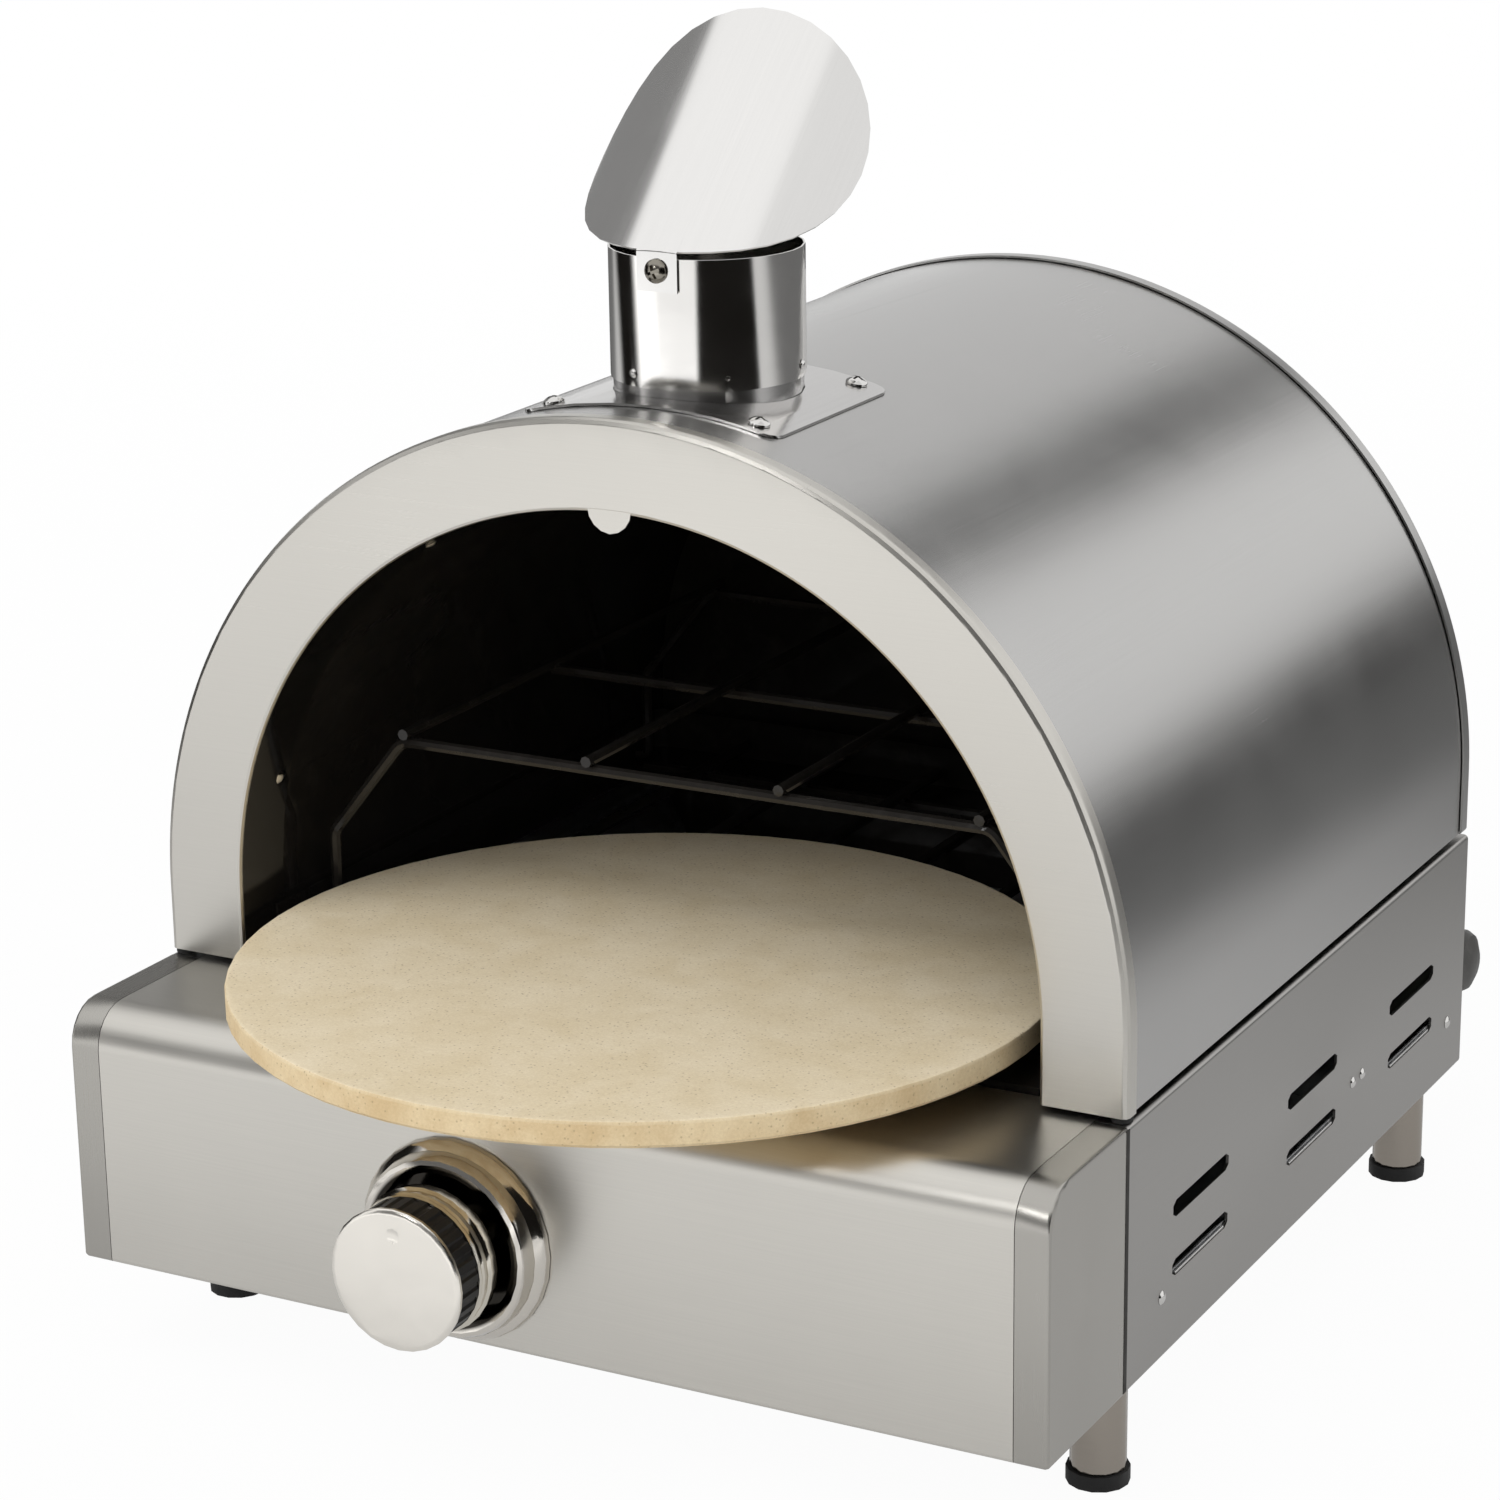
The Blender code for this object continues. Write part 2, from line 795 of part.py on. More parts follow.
tray_path = [(-tray_half, 0, tray_bottom + tray_wall), (-tray_half, 0, tray_bottom)]
tray_path += [(tray_half, 0, tray_bottom), (tray_half, 0, tray_bottom + tray_wall)]
tray_length = hood_depth - panel_sheet - seat_gap - 2 * tray_inset
tray = bent_sheet(
    "base_tray", GALVANISED, rounded(tray_path, bend_radius), (0, tray_length, 0), tray_sheet,
    (-1, 0, 0), base, (0, tray_inset, 0),
)
tray_vents = []
for column in range(vent_columns):
    for row in (-1, 1):
        across = (column - (vent_columns - 1) / 2) * vent_pitch
        tray_vents.append(capsule(vent_length, vent_height, (across, row * vent_row_offset), 2))
vent_cut = punch("tray_vents", tray_vents, cut_overrun, base, (0, hood_depth / 2, tray_bottom))
cut_all(tray, vent_cut, holes_left, holes_right)


# Back panel

back_bottom = tray_bottom + bend_radius + seat_gap
back_top = -panel_sheet - seat_gap
back_path = [(-back_half, hood_depth - back_flange, 0), (-back_half, hood_depth, 0)]
back_path += [(back_half, hood_depth, 0), (back_half, hood_depth - back_flange, 0)]
back = bent_sheet(
    "back_panel", BRUSHED, rounded(back_path, bend_radius), (0, 0, back_top - back_bottom),
    panel_sheet, (-1, 0, 0), base, (0, 0, back_bottom),
)
rear_seat = hood_depth + seat_gap
hinge_screw_reach = (hinge_barrel + hinge_leaf) / 2
hinge_screw_x = [s * hinge_x + t * hinge_width / 4 for s in (-1, 1) for t in (-1, 1)]
hinge_seats = [((x, rear_seat + hinge_sheet, -hinge_screw_reach), (0, 1, 0)) for x in hinge_screw_x]
hood_seats = [((x, rear_seat + hinge_sheet, hinge_screw_reach), (0, 1, 0)) for x in hinge_screw_x]
arm_top = -handle_depth - grip_bar_radius - seat_gap
arm_screw_x = [s * arm_x + t * arm_screw_offset for s in (-1, 1) for t in (-1, 1)]
arm_seats = [((x, rear_seat + arm_sheet, arm_top - arm_screw_drop), (0, 1, 0)) for x in arm_screw_x]
grip_seats = [((s * arm_x, handle_y, arm_top - arm_sheet), (0, 0, -1)) for s in (-1, 1)]
holes_hinge = drill("hinge_holes", hinge_seats, screw_hole, base)
holes_hood = drill("hood_holes", hood_seats, screw_hole, hood)
holes_arm = drill("arm_holes", arm_seats, screw_hole, base)
holes_grip = drill("grip_holes", grip_seats, screw_hole, base)
inlet_outline = circle(inlet_radius + seat_gap, screw_steps * 2)
inlet_place = (pipe_x, hood_depth, -pipe_depth)
inlet_cut = punch("inlet_hole", [inlet_outline], cut_overrun, base, inlet_place, back_turn)
cut_all(back, holes_hinge, holes_arm, inlet_cut, holes_left, holes_right)


# Console

console_corners = [
    (0, console_lip, -console_lip_drop), (0, console_lip, 0), (0, -console_depth, 0),
    (0, -console_depth, -base_height), (0, -console_depth + console_foot, -base_height),
]
console_bends = [bend_radius, console_radius, bend_radius]
console_path = rounded(console_corners, console_bends, steps=6)
console = bent_sheet(
    "console_panel", BRUSHED, console_path, (2 * console_half, 0, 0), panel_sheet, (0, 1, 0), base,
    (-console_half, 0, 0),
)
stem_cut = punch("stem_hole", [circle(stem_hole, knob_steps // 2)], cut_overrun, base, knob_place, back_turn)
combine(console, stem_cut, "DIFFERENCE")


def console_end(name, side):
    """An end cap: a side plate with a band that follows the fascia's outline."""
    corners = [
        (0, -seat_gap, 0), (0, -console_depth, 0),
        (0, -console_depth, -base_height), (0, -seat_gap, -base_height),
    ]
    contour = rounded(corners, [console_radius, bend_radius], steps=6)
    bm = bmesh.new()
    verts = [bm.verts.new((side * half_width, p.y, p.z)) for p in contour]
    edges = [bm.edges.new(pair) for pair in zip(verts, verts[1:])]
    bm.faces.new(verts)
    draw_out(bm, edges, (-side * end_band, 0, 0))
    face_out(bm, (side, 0, 0), (side * half_width, -console_depth / 2, -base_height / 2))
    obj = piece(name, as_mesh(bm, name), BRUSHED, base)
    bevel = obj.modifiers.new("edge", "BEVEL")
    bevel.width = end_edge_radius
    bevel.segments = 2
    bevel.limit_method = "ANGLE"
    bevel.angle_limit = math.radians(60)
    return smooth(solidify(obj, panel_sheet))


console_end("console_end_left", -1)
console_end("console_end_right", 1)


# Feet and their pads

foot_top = -base_height - seat_gap
foot_bottom = -base_height - foot_height + pad_height + seat_gap
foot_profile = [
    (0, foot_top), (foot_radius, foot_top), (foot_radius, foot_bottom),
    (foot_radius - foot_wall, foot_bottom), (foot_radius - foot_wall, foot_top - foot_wall * 2),
    (0, foot_top - foot_wall * 2),
]
pad_plug_radius = foot_radius - foot_wall - seat_gap
pad_top = foot_bottom - seat_gap
pad_floor = -base_height - foot_height
pad_profile = [
    (0, pad_top + pad_plug), (pad_plug_radius, pad_top + pad_plug), (pad_plug_radius, pad_top),
    (pad_radius, pad_top), (pad_radius, pad_floor), (0, pad_floor),
]
foot_places = {
    "front_left": (-foot_x, foot_front), "front_right": (foot_x, foot_front),
    "rear_left": (-foot_x, foot_rear), "rear_right": (foot_x, foot_rear),
}
for corner, (x, y) in foot_places.items():
    turned("foot_" + corner, BRUSHED, foot_profile, base, (x, y, 0), steps=foot_steps)
    turned("foot_pad_" + corner, RUBBER, pad_profile, base, (x, y, 0), steps=foot_steps)


# Firebox and its stays

ledge_half = firebox_half - firebox_ledge
ledge_front = firebox_front + firebox_ledge
ledge_rear = firebox_rear - firebox_ledge


def firebox_pan():
    """A level ledge round a deep well, turned up at the sides and rear and down in front."""
    rim = round_box(-firebox_half, firebox_half, firebox_front, firebox_rear, firebox_outer_radius)
    well = round_box(-ledge_half, ledge_half, ledge_front, ledge_rear, firebox_inner_radius)
    floor = round_box(
        -ledge_half + firebox_draft, ledge_half - firebox_draft, ledge_front + firebox_draft,
        ledge_rear - firebox_draft, firebox_inner_radius,
    )
    bm = bmesh.new()
    levels = ((rim, ledge_top), (well, ledge_top), (floor, -firebox_depth))
    loops = [[bm.verts.new((x, y, z)) for x, y in outline] for outline, z in levels]
    for upper, lower in zip(loops, loops[1:]):
        for i in range(len(upper)):
            bm.faces.new((upper[i - 1], upper[i], lower[i], lower[i - 1]))
    bm.faces.new(loops[-1])
    edges = [bm.edges.get((loops[0][i - 1], loops[0][i])) for i in range(len(rim))]
    side_start = firebox_front + firebox_outer_radius - merge_distance
    front_end = firebox_front + merge_distance
    upstand = [e for e in edges if min(v.co.y for v in e.verts) > side_start]
    lip = [e for e in edges if max(v.co.y for v in e.verts) < front_end]
    draw_out(bm, upstand, (0, 0, firebox_upstand - ledge_top))
    draw_out(bm, lip, (0, 0, -firebox_lip))
    face_out(bm, (0, 0, 1), (0, (ledge_front + ledge_rear) / 2, -firebox_depth))
    return smooth(solidify(piece("firebox", as_mesh(bm, "firebox"), ENAMEL, base), enamel_sheet))


firebox = firebox_pan()
firebox_ports = [
    circle(burner_radius + seat_gap * 2, screw_steps * 2, (knob_x, -knob_depth)),
    circle(electrode_radius + seat_gap, screw_steps, (electrode_x, -electrode_depth)),
]
ports = punch("firebox_ports", firebox_ports, firebox_ledge / 2, base, (0, ledge_front, 0), back_turn)
cut_all(firebox, ports)

stay_outer = tray_half
stay_inner = ledge_half + enamel_sheet + seat_gap
stay_corners = [
    (stay_inner, 0, -stay_depth + stay_flange), (stay_inner, 0, -stay_depth),
    (stay_outer, 0, -stay_depth), (stay_outer, 0, -stay_depth + stay_flange),
]
for word, side, holes in (("left", -1, holes_left), ("right", 1, holes_right)):
    stay_path = [(side * p.x, p.y, p.z) for p in rounded(stay_corners, bend_radius)]
    stay = bent_sheet(
        "firebox_stay_" + word, GALVANISED, stay_path, (0, stay_width, 0), tray_sheet, (-side, 0, 0), base,
        (0, stay_place - stay_width / 2, 0),
    )
    cut_all(stay, holes)


# Gas valve, with its igniter and nozzle

def turned_cutter(name, profile, carrier, place, turn, steps=16):
    """A turned solid that only cuts or joins."""
    bm = bmesh.new()
    turn_into(bm, profile, Matrix.Identity(4), steps)
    return cutter(name, bm, carrier, place, turn)


valve_rear = valve_front + valve_length
valve_block = block((-valve_half, -valve_half, -valve_rear), (valve_half, valve_half, -valve_front))
valve = piece("gas_valve", as_mesh(valve_block, "gas_valve"), BRASS, base, knob_place, back_turn)
igniter_profile = [
    (0, -valve_front - seat_gap), (igniter_radius, -valve_front - seat_gap),
    (igniter_radius, -valve_rear - seat_gap), (0, -valve_rear - seat_gap),
]
igniter_spot = (knob_place[0], knob_place[1], knob_place[2] - igniter_drop)
igniter = turned_cutter("igniter_body", igniter_profile, base, igniter_spot, back_turn)
nozzle_profile = [
    (0, -valve_rear + nozzle_radius), (nozzle_radius, -valve_rear + nozzle_radius),
    (nozzle_radius, -valve_rear - nozzle_length), (0, -valve_rear - nozzle_length),
]
nozzle = turned_cutter("valve_nozzle", nozzle_profile, base, knob_place, back_turn)
bore_profile = [
    (0, cut_overrun), (valve_bore, cut_overrun), (valve_bore, -valve_bore_depth), (0, -valve_bore_depth),
]
valve_hole = turned_cutter("valve_bore", bore_profile, base, knob_place, back_turn)
combine(valve, valve_hole, "DIFFERENCE")
combine(valve, igniter, "UNION")
combine(valve, nozzle, "UNION")


# Burner, a tube with one long loop, and the bracket under it

burner_points = [
    (knob_x, -burner_start, -knob_depth), (knob_x, burner_bend_start, -knob_depth),
    (-burner_spread, burner_bend_end, -knob_depth), (-burner_spread, burner_rear, -knob_depth),
    (burner_spread, burner_rear, -knob_depth), (burner_spread, burner_front, -knob_depth),
]
burner_path = rounded(burner_points, burner_bend_radius, steps=burner_bend_steps)
wire("burner_tube", GALVANISED, burner_path, burner_radius, base)
bracket_top = -knob_depth - burner_radius - seat_gap
bracket_low = -firebox_depth + seat_gap + tray_sheet
bracket_half = burner_spread + burner_radius
bracket_corners = [
    (-bracket_half - burner_bracket_foot, 0, bracket_low), (-bracket_half, 0, bracket_low),
    (-bracket_half, 0, bracket_top), (bracket_half, 0, bracket_top),
    (bracket_half, 0, bracket_low), (bracket_half + burner_bracket_foot, 0, bracket_low),
]
bent_sheet(
    "burner_bracket", GALVANISED, rounded(bracket_corners, bend_radius), (0, burner_bracket_width, 0),
    tray_sheet, (0, 0, 1), base, (0, burner_bracket_place, 0),
)


# Gas pipe and inlet

pipe_y = -console_depth + pipe_front
pipe_start = hood_depth - panel_sheet - inlet_nut_length - seat_gap * 2
pipe_points = [
    (pipe_x, pipe_start, -pipe_depth), (pipe_x, pipe_y, -pipe_depth),
    (knob_x + valve_half + pipe_depth - knob_depth + pipe_bend, pipe_y, -pipe_depth),
    (knob_x + valve_half + pipe_bend, pipe_y, -knob_depth),
    (knob_x + valve_half + seat_gap, pipe_y, -knob_depth),
]
pipe_bends = [pipe_bend, pipe_bend, pipe_bend / 2]
wire("gas_pipe", BRASS, rounded(pipe_points, pipe_bends), pipe_radius, base)
inlet_profile = [
    (0, inlet_length), (inlet_thread_radius, inlet_length), (inlet_thread_radius, inlet_nut_length),
    (inlet_nut_radius, inlet_nut_length), (inlet_nut_radius, seat_gap), (inlet_radius, seat_gap),
    (inlet_radius, -panel_sheet - inlet_nut_length), (0, -panel_sheet - inlet_nut_length),
]
turned("gas_inlet", BRASS, inlet_profile, base, inlet_place, rear_turn, steps=16)


# Igniter electrode and its lead

electrode_start = ledge_front - electrode_length / 2
electrode_profile = [
    (0, electrode_length + electrode_tip), (electrode_tip_radius, electrode_length + electrode_tip),
    (electrode_tip_radius, electrode_length), (electrode_radius, electrode_length),
    (electrode_radius, 0), (0, 0),
]
electrode_place = (electrode_x, electrode_start, -electrode_depth)
turned("ignition_electrode", CERAMIC, electrode_profile, base, electrode_place, rear_turn, steps=12)
lead_y = -console_depth + valve_rear + seat_gap * 2
lead_z = -knob_depth - igniter_drop
lead_points = [
    (knob_x, lead_y, lead_z), (knob_x, lead_y + wire_lead, lead_z),
    (electrode_x, lead_y + 2 * wire_lead, lead_z),
    (electrode_x, electrode_start - 2 * wire_lead, -electrode_depth),
    (electrode_x, electrode_start - seat_gap, -electrode_depth),
]
wire("ignition_wire", RUBBER, rounded(lead_points, wire_bend), wire_radius, base)


# Heat deflector, hung by its tabs on the firebox ledge

deflector_top = ledge_top + seat_gap + tray_sheet
deflector_outer = ledge_half + deflector_tab
deflector_fall = ledge_half - deflector_side_gap
deflector_corners = [
    (-deflector_outer, 0, deflector_top), (-deflector_fall, 0, deflector_top),
    (-deflector_fall + deflector_slope, 0, -deflector_drop),
    (deflector_fall - deflector_slope, 0, -deflector_drop),
    (deflector_fall, 0, deflector_top), (deflector_outer, 0, deflector_top),
]
bent_sheet(
    "heat_deflector", GALVANISED, rounded(deflector_corners, bend_radius),
    (0, deflector_rear - deflector_front, 0), tray_sheet, (0, 0, 1), base, (0, deflector_front, 0),
)


# Stone support and stone

support_cross = [
    [(-support_reach, y, support_lower), (support_reach, y, support_lower)]
    for y in (support_front_bar, support_rear_bar)
]
support_long = []
for bar in range(support_bars):
    x = -support_span + 2 * support_span * bar / (support_bars - 1)
    support_long.append([(x, support_front, support_upper), (x, support_rear, support_upper)])
welded_rack("stone_support", ENAMEL, support_cross, support_long, support_radius, base)

stone_top_arc = arc((stone_radius - stone_edge, stone_thickness - stone_edge), stone_edge, 90, 0, 2)
stone_low_arc = arc((stone_radius - stone_edge, stone_edge), stone_edge, 0, -90, 1)
stone_profile = [(0, stone_thickness)] + stone_top_arc + stone_low_arc + [(0, 0)]
turned("pizza_stone", STONE, stone_profile, stone, (0, stone_place, stone_bottom), steps=64)


# Warming rack: two bent end frames and a middle bar under four straight bars

def rack_frame(y):
    """The path of one end frame: feet on the ledge, splayed knees and a straight top."""
    foot_z = ledge_top + seat_gap + rack_radius
    half = [
        (rack_leg + rack_foot, foot_z), (rack_leg, foot_z), (rack_leg, rack_knee), (rack_half, rack_height),
    ]
    corners = [(x, y, z) for x, z in half] + [(-x, y, z) for x, z in reversed(half)]
    bends = [rack_foot_bend, rack_bend, rack_bend]
    return rounded(corners, bends + bends[::-1])


rack_rear = rack_front + rack_length
rack_middle = rack_front + rack_length * rack_middle_share
rack_bar_z = rack_height + 2 * rack_radius - weld_sink
rack_bar_outer = rack_half - rack_bar_inset
rack_cross = [rack_frame(rack_front), rack_frame(rack_rear)]
rack_cross.append([(-rack_half, rack_middle, rack_height), (rack_half, rack_middle, rack_height)])
rack_long = []
for x in (-rack_bar_outer, -rack_bar_inner, rack_bar_inner, rack_bar_outer):
    bar_ends = [(x, rack_front - rack_overhang, rack_bar_z), (x, rack_rear + rack_overhang, rack_bar_z)]
    rack_long.append(bar_ends)
welded_rack("warming_rack", ENAMEL, rack_cross, rack_long, rack_radius, rack)


# Hood

arch_centre = (0, 0, arch_height)


def arch_sheet(name, look, profile, lift, thickness):
    """A sheet whose section, pairs of radius and depth, runs up one leg, round and down."""
    leg = arch_height - lift
    bm = bmesh.new()
    edges = path_edges(bm, [(r, y, -leg) for r, y in profile])
    edges = draw_out(bm, edges, (0, 0, leg))
    ends = list({v for e in edges for v in e.verts})
    spun = bmesh.ops.spin(
        bm, geom=ends + edges, axis=(0, -1, 0), cent=(0, 0, 0), angle=math.pi, steps=arch_steps,
    )["geom_last"]
    edges = [g for g in spun if isinstance(g, bmesh.types.BMEdge)]
    draw_out(bm, edges, (0, 0, -leg))
    bmesh.ops.remove_doubles(bm, verts=bm.verts, dist=merge_distance)
    (r_start, y_start), (r_end, y_end) = profile[:2]
    face_out(bm, (1, 0, 0), ((r_start + r_end) / 2, (y_start + y_end) / 2, -leg / 2))
    return smooth(solidify(piece(name, as_mesh(bm, name), look, hood, arch_centre), thickness))


def section(points, radii):
    """A rounded section of radius and depth pairs."""
    path = rounded([(r, y, 0) for r, y in points], radii, steps=2)
    return [(p.x, p.y) for p in path]


ring_corners = [
    (hood_radius, rim_depth), (hood_radius, 0), (mouth_radius, 0), (mouth_radius, mouth_flange),
]
ring_section = section(ring_corners, [rim_radius, mouth_edge_radius])
ring = arch_sheet("front_ring", BRUSHED, ring_section, hood_lift, rim_sheet)
tab_outline = arc((0, mouth_radius - tab_drop + tab_half), tab_half, 180, 360, tab_steps)
tab_outline += [(tab_half, mouth_radius + tab_bite), (-tab_half, mouth_radius + tab_bite)]
tab_bm = bmesh.new()
prism(tab_bm, tab_outline, -rim_sheet + tab_inset, -tab_inset)
combine(ring, cutter("mouth_tab", tab_bm, hood, arch_centre, back_turn), "UNION")

skin_inset = rim_radius + seat_gap
skin_lift = hood_lift + rim_sheet + seat_gap * 3
skin_section = [(skin_radius, skin_inset), (skin_radius, hood_depth - skin_inset)]
skin = arch_sheet("hood_skin", BRUSHED, skin_section, skin_lift, hood_sheet)

liner_section = [(liner_radius + enamel_sheet, liner_front), (liner_radius + enamel_sheet, liner_rear)]
liner_lift = liner_bottom + enamel_sheet + seat_gap * 3
liner = arch_sheet("oven_liner", ENAMEL, liner_section, liner_lift, enamel_sheet)


def arch_pan(name, look, radius, lift, y, rim, edge, thickness):
    """A flat arched back with a rim turned forward all round."""
    leg = arch_height - lift
    bm = bmesh.new()
    verts = [bm.verts.new((x, y, z)) for x, z in arch(radius, leg)]
    face = bm.faces.new(verts)
    draw_out(bm, list(face.edges), (0, -rim, 0))
    face_out(bm, (0, 1, 0), (0, y, 0))
    obj = piece(name, as_mesh(bm, name), look, hood, arch_centre)
    bevel = obj.modifiers.new("edge", "BEVEL")
    bevel.width = edge
    bevel.segments = 2
    bevel.limit_method = "ANGLE"
    bevel.angle_limit = math.radians(60)
    return smooth(solidify(obj, thickness))


hood_back = arch_pan(
    "hood_back", BRUSHED, hood_radius, hood_lift, hood_depth, rim_depth, rim_radius / 2, rim_sheet,
)
back_liner_radius = liner_radius + enamel_sheet + seat_gap + enamel_sheet
liner_back_y = liner_rear + seat_gap + enamel_sheet
arch_pan(
    "liner_back", ENAMEL, back_liner_radius, liner_bottom, liner_back_y, liner_back_rim,
    mouth_edge_radius, enamel_sheet,
)
cut_all(hood_back, holes_hood)


def on_arch(radius, angle, y):
    """A place on the arch and the way outward there."""
    outward = Vector((math.cos(angle), 0, math.sin(angle)))
    return Vector((0, y, arch_height)) + outward * radius, outward


mouth_seats = []
for share in mouth_rivet_shares:
    place, outward = on_arch(mouth_radius, math.pi * share, liner_rivet_place)
    mouth_seats.append((place, -outward))
holes_mouth = drill("mouth_holes", mouth_seats, rivet_hole, hood)
cut_all(ring, holes_mouth)
cut_all(liner, holes_mouth)


# Chimney: saddle plate, collar, tube and rain cap

saddle_top = arch_height + saddle_radius
flue_top = saddle_top + flue_stand
cap_front_height = flue_top + cap_front_rise
collar_bottom = arch_height + liner_radius + enamel_sheet + seat_gap * 3
collar_top = saddle_top + collar_rise


def saddle_plate():
    """A plate rolled to the hood, with rounded corners and a round hole."""
    bm = bmesh.new()
    swing = math.asin((saddle_half + saddle_corner) / saddle_radius)
    start_x = saddle_radius * math.sin(swing)
    start_z = saddle_radius * math.cos(swing)
    reaches = (saddle_front - saddle_corner, saddle_rear + saddle_corner)
    ends = [bm.verts.new((start_x, y, start_z)) for y in reaches]
    bmesh.ops.spin(
        bm, geom=ends + [bm.edges.new(ends)], axis=(0, -1, 0), cent=(0, 0, 0), angle=2 * swing,
        steps=saddle_steps,
    )
    face_out(bm, (0, 0, 1), (0, flue_y, saddle_radius))
    obj = smooth(piece("chimney_plate", as_mesh(bm, "chimney_plate"), SATIN, hood, arch_centre))
    solidify(obj, hood_sheet)
    trim = bmesh.new()
    outline = round_box(-saddle_half, saddle_half, saddle_front, saddle_rear, saddle_corner)
    prism(trim, outline, saddle_top - saddle_half, saddle_top + saddle_half)
    combine(obj, cutter("saddle_outline", trim, hood), "INTERSECT")
    return cut_all(obj, holes_saddle, flue_hole)


flue_bottom = saddle_top + flue_bottom_rise
flue_seats = []
for number in range(flue_rivet_count):
    angle = flue_rivet_start + math.tau * number / flue_rivet_count
    outward = Vector((math.cos(angle), math.sin(angle), 0))
    flue_seats.append((Vector((0, flue_y, flue_bottom + flue_rivet_rise)) + outward * flue_radius, outward))
holes_flue = drill("flue_rivet_holes", flue_seats, flue_rivet_hole, hood)
saddle_seats = []
for side in (-1, 1):
    swing = math.pi / 2 - side * math.asin(saddle_screw_x / saddle_radius)
    for y in (saddle_front + saddle_screw_inset, saddle_rear - saddle_screw_inset):
        saddle_seats.append(on_arch(saddle_radius, swing, y))
holes_saddle = drill("saddle_holes", saddle_seats, screw_hole, hood)
flue_hole_profile = [
    (0, saddle_top + cut_overrun), (collar_radius + seat_gap, saddle_top + cut_overrun),
    (collar_radius + seat_gap, collar_bottom - cut_overrun * 4), (0, collar_bottom - cut_overrun * 4),
]
flue_hole = turned_cutter("flue_hole", flue_hole_profile, hood, (0, flue_y, 0), (0, 0, 0), flue_steps)
saddle_plate()
combine(skin, flue_hole, "DIFFERENCE")
collar_inner = collar_radius - collar_wall
collar_profile = [
    (collar_radius, collar_top), (collar_radius, collar_bottom),
    (collar_inner, collar_bottom), (collar_inner, collar_top),
]
collar = turned("flue_collar", SATIN, collar_profile, hood, (0, flue_y, 0), steps=flue_steps, ring=True)
cut_all(collar, holes_flue)
liner_hole_profile = [(min(r, collar_inner), z) for r, z in flue_hole_profile]
liner_hole = turned_cutter("liner_hole", liner_hole_profile, hood, (0, flue_y, 0), (0, 0, 0), flue_steps)
combine(liner, liner_hole, "DIFFERENCE")

flue_profile = [
    (flue_radius, flue_top), (flue_radius, flue_bottom),
    (flue_radius - flue_wall, flue_bottom), (flue_radius - flue_wall, flue_top),
]
flue = turned("flue_tube", POLISHED, flue_profile, hood, (0, flue_y, 0), steps=flue_steps, ring=True)
cut_all(skin, holes_saddle)
for word, seat in zip(("front_left", "rear_left", "front_right", "rear_right"), saddle_seats):
    round_screw("plate_screw_" + word, POLISHED, seat, hood)

cap_front_y = flue_y - flue_radius - seat_gap - hood_sheet
cap_slope = Vector((0, math.cos(cap_tilt), math.sin(cap_tilt)))
cap_normal = Vector((0, -math.sin(cap_tilt), math.cos(cap_tilt)))
cap_middle = Vector((0, cap_front_y, cap_front_height)) + cap_slope * cap_half_length


def cap_point(across, along):
    """A point of the bent disc, from its place on the flat disc."""
    swing = across / cap_bend
    drop = cap_bend * (1 - math.cos(swing))
    return Vector((cap_bend * math.sin(swing), 0, 0)) + cap_slope * along - cap_normal * drop


def rain_cap():
    """An oval disc bent about a line that leans back, with a tab down the tube's front."""
    bm = bmesh.new()
    rows = []
    for i in range(cap_steps // 2 + 1):
        angle = math.pi * i / (cap_steps // 2)
        across = cap_half_width * math.cos(angle)
        along = cap_half_length * math.sin(angle)
        rows.append((bm.verts.new(cap_point(across, -along)), bm.verts.new(cap_point(across, along))))
    for (low, high), (next_low, next_high) in zip(rows, rows[1:]):
        bm.faces.new((low, high, next_high, next_low))
    bmesh.ops.remove_doubles(bm, verts=bm.verts, dist=merge_distance)
    face_out(bm, cap_normal, (0, 0, 0))
    obj = smooth(piece("rain_cap", as_mesh(bm, "rain_cap"), SATIN, hood, cap_middle))
    solidify(obj, hood_sheet)
    tab_bm = bmesh.new()
    columns = []
    for i in range(cap_tab_steps + 1):
        across = cap_tab_half * (2 * i / cap_tab_steps - 1)
        sink = cap_normal * cap_tab_sink
        fold = cap_point(across, -cap_half_length) - sink
        upper = cap_point(across, cap_tab_grip - cap_half_length) - sink
        path = rounded([fold - Vector((0, 0, cap_tab_length)), fold, upper], bend_radius / 2, steps=3)
        columns.append([tab_bm.verts.new(p) for p in path])
    for left, right in zip(columns, columns[1:]):
        for i in range(len(left) - 1):
            tab_bm.faces.new((left[i], right[i], right[i + 1], left[i + 1]))
    face_out(tab_bm, (0, -1, 0), cap_point(0, -cap_half_length) - Vector((0, 0, cap_tab_length)))
    tab = cutter("cap_tab", tab_bm, hood, cap_middle)
    solidify(tab, cap_tab_sheet)
    return combine(obj, tab, "UNION")


cap = rain_cap()
cap_seat = ((0, cap_front_y, cap_front_height - cap_screw_drop), (0, -1, 0))
hole_cap = drill("cap_screw_hole", [cap_seat], screw_hole, hood)
cut_all(cap, hole_cap)
cut_all(flue, hole_cap, holes_flue)
round_screw("cap_screw", POLISHED, cap_seat, hood)


# Knob, its bezel and stem

